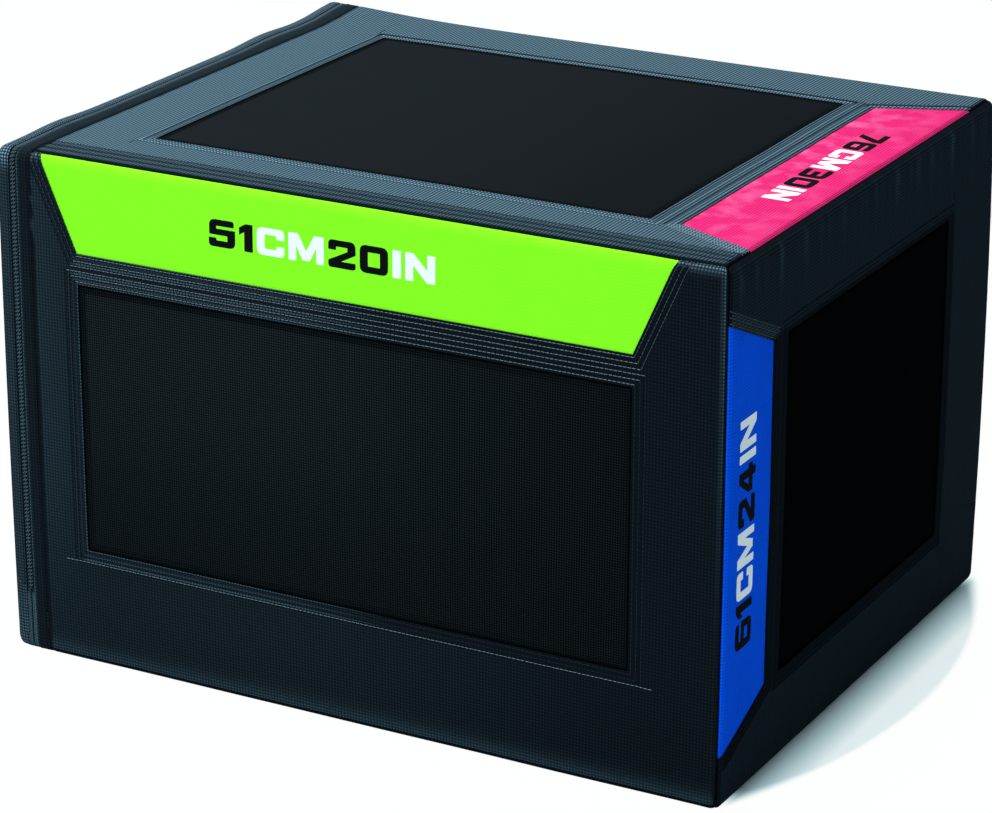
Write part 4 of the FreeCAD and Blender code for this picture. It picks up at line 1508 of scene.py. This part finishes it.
    def build_tapes(self) -> None:
        """The two tapes: flat ribbons along the path, one under the binding and one under the rim.

        Below the coil's foot at the front they come up to close the gap, by a cubic step of the length.
        """
        half_gap = 0.7
        flap_low = self.middle - self.gap / 2 - self.rim_flat - self.tape_tuck
        spans = {"flap": (flap_low, self.middle - half_gap, "end_flap"),
                 "box": (self.middle + half_gap, self.middle + self.gap / 2 + self.binding_width, "box")}
        start, stop = self.tape_foot, float(self.path.marks[-1]) - self.tape_foot
        foot = self.path.at_height(self.coil_foot)[0]
        for side, (low, high, body) in spans.items():
            along, x = np.meshgrid(self.rows(start, stop), gathered(low, high, [], 1.2), indexing="ij")
            below = 1 - smooth_step(along, foot - 8.0, foot)
            height = self.tape_level + 0.9 * below + 0.05 * ripple(along, 73, (9.0, 14.0))
            tape = lay_cloth(f"zip_tape_{side}_ribbon", self.path.place(along, x, height), x, along,
                             self.tape_thickness, self.painted_light.tape_foot * below)
            fit(tape, body, self.finishes.tape, "zip_tape", f"zip_tape_{side}")

    def build_coils(self) -> None:
        """The two halves of the coil: slanted bars in step along the path, each half a step off the other.

        A bar is an ellipse carried along a slanted line, narrowed at its ends. The halves mesh, but stand apart down
        the back, where the slider's web runs between them.
        """
        start, stop = self.path.at_height(self.coil_foot)
        count = int((stop - start) / self.coil_pitch)
        turn = np.linspace(0, 2 * np.pi, 6, endpoint=False)
        reach = np.array([0.0, 0.10, 0.55, 0.92, 1.0])
        wide = np.array([0.45, 0.95, 1.0, 0.95, 0.45])
        around = np.outer(wide, np.cos(turn)).ravel() * self.coil_radius
        rise = np.outer(wide, np.sin(turn)).ravel() * self.coil_rise
        step = np.repeat(reach, 6)
        quads = capped_tubes(len(reach), count)
        for side, way, body in (("flap", -1, "end_flap"), ("box", 1, "box")):
            at = start + (np.arange(count) + 0.5 + 0.25 * way) * self.coil_pitch
            back = smooth_step(at, self.path.marks[4], self.path.marks[5])[:, None]
            inner = -self.coil_mesh + (self.coil_mesh + self.coil_part) * back
            x = self.middle + way * (inner + step * (self.coil_reach - inner))
            along = at[:, None] + way * (step - 0.1) * self.coil_slant + around
            points = self.path.place(along, x, -1.0 + np.broadcast_to(rise, along.shape))
            coil = make_piece(f"zip_coil_{side}_loops", points, quads if way < 0 else quads[:, ::-1])
            fit(coil, body, self.finishes.coil, "zip_coil", f"zip_coil_{side}")

    def build_patch(self) -> None:
        """The patch on the rim beside the zip's front foot: it follows the rim, and its upper edge slants."""
        form = self.path.form
        inner = 0.2
        outer = self.rim_flat + form.edge_radius * math.asin(0.5)
        share, width = np.meshgrid(np.linspace(0, 1, 60), np.linspace(outer, inner, 26), indexing="ij")
        x, level = self.rim_profile(width)
        top = self.patch_low + self.patch_height - self.patch_slant * (outer - width) / (outer - inner)
        z = self.patch_low + share * (top - self.patch_low)
        border = np.minimum(np.minimum(share, 1 - share) * self.patch_height,
                            np.minimum(outer - width, width - inner))
        turned = 0.3 * np.clip(1 - border / 0.7, 0, 1) ** 2
        height = level + self.patch_level + groove(border, 2.0, *self.strip_furrow) - turned
        along = self.path.at_height(0.0)[0] + z
        paint = self.painted_light
        # Painted highlight round the border; paler towards the foot.
        sheen_and_shade = paint.patch + paint.patch_foot * (1 - share) + paint.patch_border * bell(border, 1.2)
        patch = lay_cloth("zip_end_patch", self.path.place(along, x, height), width, along, self.patch_thickness, sheen_and_shade)
        fit(patch, "end_flap", self.finishes.covers[Side.FRONT], "cover_cloth", "zip_end_tab")

    def dress_slider(self) -> None:
        """Lacquers the slider and the puller, whose solids have their shape already."""
        for name in ("zip_slider", "zip_puller"):
            item = bpy.data.objects[name]
            item.data.materials.clear()
            item.data.materials.append(self.finishes.lacquer)
            LOG.info("%s lacquered", name)


@dataclass
class FoamCore:
    """The foam inside: six boards and four planks, cut square, rolled where the cover rolls."""

    form: BoxForm
    finishes: Finishes
    inset: float = 3.3
    board: float = 40.0
    joint: float = 0.2
    edge: float = 1.6
    groove_depth: float = 2.4
    groove_half: float = 5.6
    plank_count: int = 4
    fine_reach: float = 14.0
    fine_step: float = 2.2
    coarse_step: float = 26.0
    # Extra lines along X beside the zip: from, to and step.
    zip_lines: tuple[float, float, float] = (-370.0, -350.0, 1.6)

    def build(self) -> None:
        """Builds boards and planks."""
        x, y, z = self.form.length / 2, self.form.depth / 2, self.form.height
        reach = self.inset + self.board - 0.3
        in_x, in_y, low, high = x - reach, y - reach, reach, z - reach
        boards = {
            "top": ((-x, -y, high), (x, y, z)), "bottom": ((-x, -y, 0), (x, y, low)),
            "front": ((-x, -y, low), (x, -in_y, high)), "back": ((-x, in_y, low), (x, y, high)),
            "left": ((-x, -in_y, low), (-in_x, in_y, high)), "right": ((in_x, -in_y, low), (x, in_y, high)),
        }
        for side, (corner, opposite) in boards.items():
            self.build_block(f"{side}_board_foam", corner, opposite, self.finishes.board_foam, "face_foam",
                             f"{side}_pad")
        rise = (high - low) / self.plank_count
        for number in range(self.plank_count):
            self.build_block(f"core_plank_{number + 1}_foam", (-in_x, -in_y, low + number * rise),
                             (in_x, in_y, low + (number + 1) * rise), self.finishes.core_foam, "core_foam",
                             f"core_plank_{number + 1}")

    def build_block(self, name: str, low: tuple[float, ...], high: tuple[float, ...], finish: bpy.types.Material,
                    slot: str, node: str) -> None:
        """Makes one block: the skin of a lattice, pulled into the box's rolled form and rounded at its edges.

        Each pull is the same: a point outside a core box goes back to a radius from that box. Beside the zip the
        form is pressed in by a flat-bottomed bell of X.

        Args:
            name: The piece's name.
            low: Its lowest corner.
            high: Its highest corner.
            finish: The foam.
            slot: The record's slot.
            node: The CAD node that it replaces.
        """
        form, lines = self.form, []
        for start, stop in zip(low, high):
            near = [(start, start + self.fine_reach, self.fine_step), (stop - self.fine_reach, stop, self.fine_step)]
            lines.append(gathered(start + self.joint, stop - self.joint, near, self.coarse_step))
        if low[0] < self.zip_lines[0]:
            lines[0] = np.union1d(lines[0], np.arange(*self.zip_lines))
        points = np.stack(np.meshgrid(*lines, indexing="ij"), axis=-1)
        low_core = np.array(low) + self.joint + self.edge
        high_core = np.array(high) - self.joint - self.edge
        points = pull_in(points, low_core, high_core, self.edge)
        press = self.groove_depth * np.exp(-(((points[..., 0] - form.zip_x) / self.groove_half) ** 4))
        inset = self.inset + np.stack([np.zeros_like(press), press, press], axis=-1)
        radius = form.edge_radius - self.inset
        half = np.array([form.length / 2, form.depth / 2, form.height / 2]) - inset - radius
        middle = np.array([0.0, 0.0, form.height / 2])
        points = form.belly(pull_in(points, middle - half, middle + half, radius)) * MM
        block = make_piece(name, points, lattice_skin(points.shape[:3]))
        fit(block, "box", finish, slot, node)


def pull_in(points: np.ndarray, low: np.ndarray, high: np.ndarray, radius: float) -> np.ndarray:
    """Brings points that are further than a radius from a core box back to that radius."""
    core = np.clip(points, low, high)
    off = points - core
    far = np.linalg.norm(off, axis=-1, keepdims=True)
    return np.where(far > radius, core + off * (radius / np.maximum(far, radius)), points)


def lattice_skin(counts: tuple[int, ...]) -> np.ndarray:
    """Corner numbers of the outward-facing cells on the six sides of a lattice of points."""
    number = np.arange(math.prod(counts)).reshape(counts)
    sides = []
    for axis in range(3):
        for end in (0, -1):
            layer = np.take(number, end, axis=axis)
            cells = np.stack([layer[:-1, :-1], layer[1:, :-1], layer[1:, 1:], layer[:-1, 1:]], axis=-1).reshape(-1, 4)
            outward = (end == -1) == (axis != 1)
            sides.append(cells if outward else cells[:, ::-1])
    return np.concatenate(sides)


@dataclass
class Studio:
    """Camera, floor and lights of the picture."""

    azimuth: float = 28.578
    elevation: float = 20.407
    roll: float = 0.112
    distance: float = 3.6029
    target: tuple[float, float, float] = (-0.00835, -0.00455, 0.21930)
    focal_pixels: float = 3674.2
    picture_width: float = 992.0
    floor_white: float = 0.985
    shadow_x: float = 0.38
    shadow_y: float = 0.015
    shadow_width: float = 0.072
    shadow_half: float = 0.305
    shadow_deep: float = 0.56
    shadow_plain: float = 0.74
    shadow_rim: float = 0.72
    ambient: float = 0.45

    def build(self) -> None:
        """Sets up the picture."""
        bpy.context.scene.view_settings.view_transform = "Standard"
        self.build_camera()
        self.build_floor()
        self.build_world()
        self.build_lamps()

    def build_camera(self) -> None:
        """Puts the camera on its sphere round the target, with the fitted focal length."""
        turn, rise = math.radians(self.azimuth), math.radians(self.elevation)
        back = Vector((math.sin(turn) * math.cos(rise), -math.cos(turn) * math.cos(rise), math.sin(rise)))
        data = bpy.data.cameras.new("camera")
        data.sensor_width = 36.0
        data.sensor_fit = "HORIZONTAL"
        data.lens = self.focal_pixels / self.picture_width * data.sensor_width
        data.clip_end = 50.0
        camera = bpy.data.objects.new("camera", data)
        bpy.context.scene.collection.objects.link(camera)
        facing = back.to_track_quat("Z", "Y").to_matrix().to_4x4()
        lean = Matrix.Rotation(math.radians(self.roll), 4, "Z")
        camera.matrix_world = Matrix.Translation(Vector(self.target) + back * self.distance) @ facing @ lean
        bpy.context.scene.camera = camera

    def build_floor(self) -> None:
        """A wide white floor: where it is seen it is nearly plain white, so that its shadow is pale."""
        side = 12.0
        points = np.array([[-side, -side, 0], [side, -side, 0], [side, side, 0], [-side, side, 0]])
        floor = make_piece("floor", points, np.array([[0, 1, 2, 3]]))
        material, tree = blank_material("floor_paper_white")
        shader = add_node(tree, "BsdfPrincipled", named={"Base Color": linear("#E2FAFB"), "Roughness": 0.9,
                                                         "Specular IOR Level": 0.1})
        plain = self.plain_white(tree)
        # Where the white share is low, in the shadow oval, the white is tinted cyan: painted colour of the shadow.
        tint = add_node(tree, "Mix", plain, named={"A": linear("#CEFDFF"), "B": linear("#FFFFFF")}, data_type="RGBA")
        white = add_node(tree, "Emission", tint, 1.0)
        share = add_node(tree, "Math", self.seen(tree), plain, operation="MULTIPLY")
        add_node(tree, "OutputMaterial", add_node(tree, "MixShader", share, shader, white))
        floor.data.materials.append(material)

    def plain_white(self, tree: bpy.types.NodeTree) -> bpy.types.Node:
        """How much of the floor is plain white at a place.

        Beside the ends of the box the shadow keeps its depth: the share grows there with the distance from the box
        and steps to its full value at the rim of a half oval, where that distance and the square of the place
        along the box, each as a share of the oval's half size, add up to one.

        Args:
            tree: The node tree to add it to.

        Returns:
            The node.
        """
        place = add_node(tree, "TexCoord").outputs["Object"]
        x, y, _ = add_node(tree, "SeparateXYZ", place).outputs
        along = add_node(tree, "MapRange", y, self.shadow_y, self.shadow_y + self.shadow_half, clamp=False)
        end = add_node(tree, "Math", x, operation="ABSOLUTE")
        off = add_node(tree, "MapRange", end, self.shadow_x, self.shadow_x + self.shadow_width, clamp=False)
        away = add_node(tree, "Math", off, 0.0, operation="MAXIMUM")
        total = add_node(tree, "Math", along, along, away, operation="MULTIPLY_ADD")
        slow = add_node(tree, "MapRange", away, 0.0, self.shadow_deep, 0.0, self.shadow_plain)
        rim = add_node(tree, "MapRange", total, self.shadow_rim, 1.0, 0.0, self.floor_white,
                       interpolation_type="SMOOTHSTEP")
        return add_node(tree, "Math", slow, rim, operation="MAXIMUM")

    def build_world(self) -> None:
        """White where it is seen, directly or in a gloss, and a soft pale light elsewhere."""
        world = bpy.data.worlds.new("studio")
        bpy.context.scene.world = world
        world.use_nodes = True
        tree = world.node_tree
        tree.nodes.clear()
        ambient = add_node(tree, "Background", linear("#DDEBF4"), self.ambient)
        white = add_node(tree, "Background", linear("#FFFFFF"), 1.0)
        add_node(tree, "OutputWorld", add_node(tree, "MixShader", self.seen(tree), ambient, white))

    def seen(self, tree: bpy.types.NodeTree) -> bpy.types.Node:
        """A node that gives 1 for rays that show a thing to the eye: from the camera, a gloss or a glass.

        Args:
            tree: The node tree to add it to.

        Returns:
            The node.
        """
        path = add_node(tree, "LightPath").outputs
        direct = add_node(tree, "Math", path["Is Camera Ray"], path["Is Glossy Ray"], operation="MAXIMUM")
        return add_node(tree, "Math", direct, path["Is Transmission Ray"], operation="MAXIMUM")

    def build_lamps(self) -> None:
        """A large soft lamp overhead and a weaker one at the front."""
        for name, spot, size, power, colour in (
            ("key_softbox", (-0.7, 0.1, 3.0), 2.0, 90.0, "#FFFFFF"),
            ("front_softbox", (-0.2, -3.3, 1.9), 1.2, 53.0, "#F4F8FF"),
        ):
            data = bpy.data.lights.new(name, "AREA")
            data.size = size
            data.energy = power
            data.color = linear(colour)[:3]
            lamp = bpy.data.objects.new(name, data)
            bpy.context.scene.collection.objects.link(lamp)
            facing = Vector((0.0, 0.0, 0.2)) - Vector(spot)
            turned = facing.to_track_quat("-Z", "Y").to_matrix().to_4x4()
            lamp.matrix_world = Matrix.Translation(Vector(spot)) @ turned


def face_axes(form: BoxForm) -> dict[Side, FaceAxes]:
    """The six faces' axes, as the solids have them.

    Args:
        form: The whole box.

    Returns:
        Axes by side.
    """
    x, y, z = (1.0, 0.0, 0.0), (0.0, 1.0, 0.0), (0.0, 0.0, 1.0)
    minus_x, minus_y, minus_z = (-1.0, 0.0, 0.0), (0.0, -1.0, 0.0), (0.0, 0.0, -1.0)
    length, depth, height = form.length, form.depth, form.height
    rows = (
        FaceAxes(Side.FRONT, x, y, z, length, height, (0.0, -depth / 2, height / 2)),
        FaceAxes(Side.BACK, minus_x, minus_y, z, length, height, (0.0, depth / 2, height / 2)),
        FaceAxes(Side.RIGHT, z, minus_x, minus_y, height, depth, (length / 2, 0.0, height / 2)),
        FaceAxes(Side.LEFT, z, x, y, height, depth, (-length / 2, 0.0, height / 2)),
        FaceAxes(Side.TOP, minus_y, minus_z, x, depth, length, (0.0, 0.0, height)),
        FaceAxes(Side.BOTTOM, y, z, x, depth, length, (0.0, 0.0, 0.0)),
    )
    return {row.side: row for row in rows}


PRINTS = {
    Side.FRONT: Print(("51", "CM", "20", "IN"), -23.6, 235.7, 25.8, 0.48, "green_band"),
    Side.TOP: Print(("76", "CM", "30", "IN"), -10.5, 233.9, 27.0, 0.44, "pink_band"),
    Side.RIGHT: Print(("61", "CM", "24", "IN"), 1.0, 216.9, 32.5, 0.54, "blue_band"),
}


def main() -> None:
    """Builds the picture and every piece of the box in order."""
    logging.basicConfig(level=logging.INFO, format="%(name)s: %(message)s")
    form = BoxForm()
    layout = FaceLayout()
    finishes = Finishes()
    Studio().build()
    axes = face_axes(form)
    for side in Side:
        body = "end_flap" if side is Side.LEFT else "box"
        SewnFace(FaceSurface(form, layout, axes[side]), body, finishes, PRINTS[PAIRS[side]]).build()
    ZipClosure(EndPath(form), finishes).build()
    FoamCore(form, finishes).build()


if __name__ == "__main__":
    main()
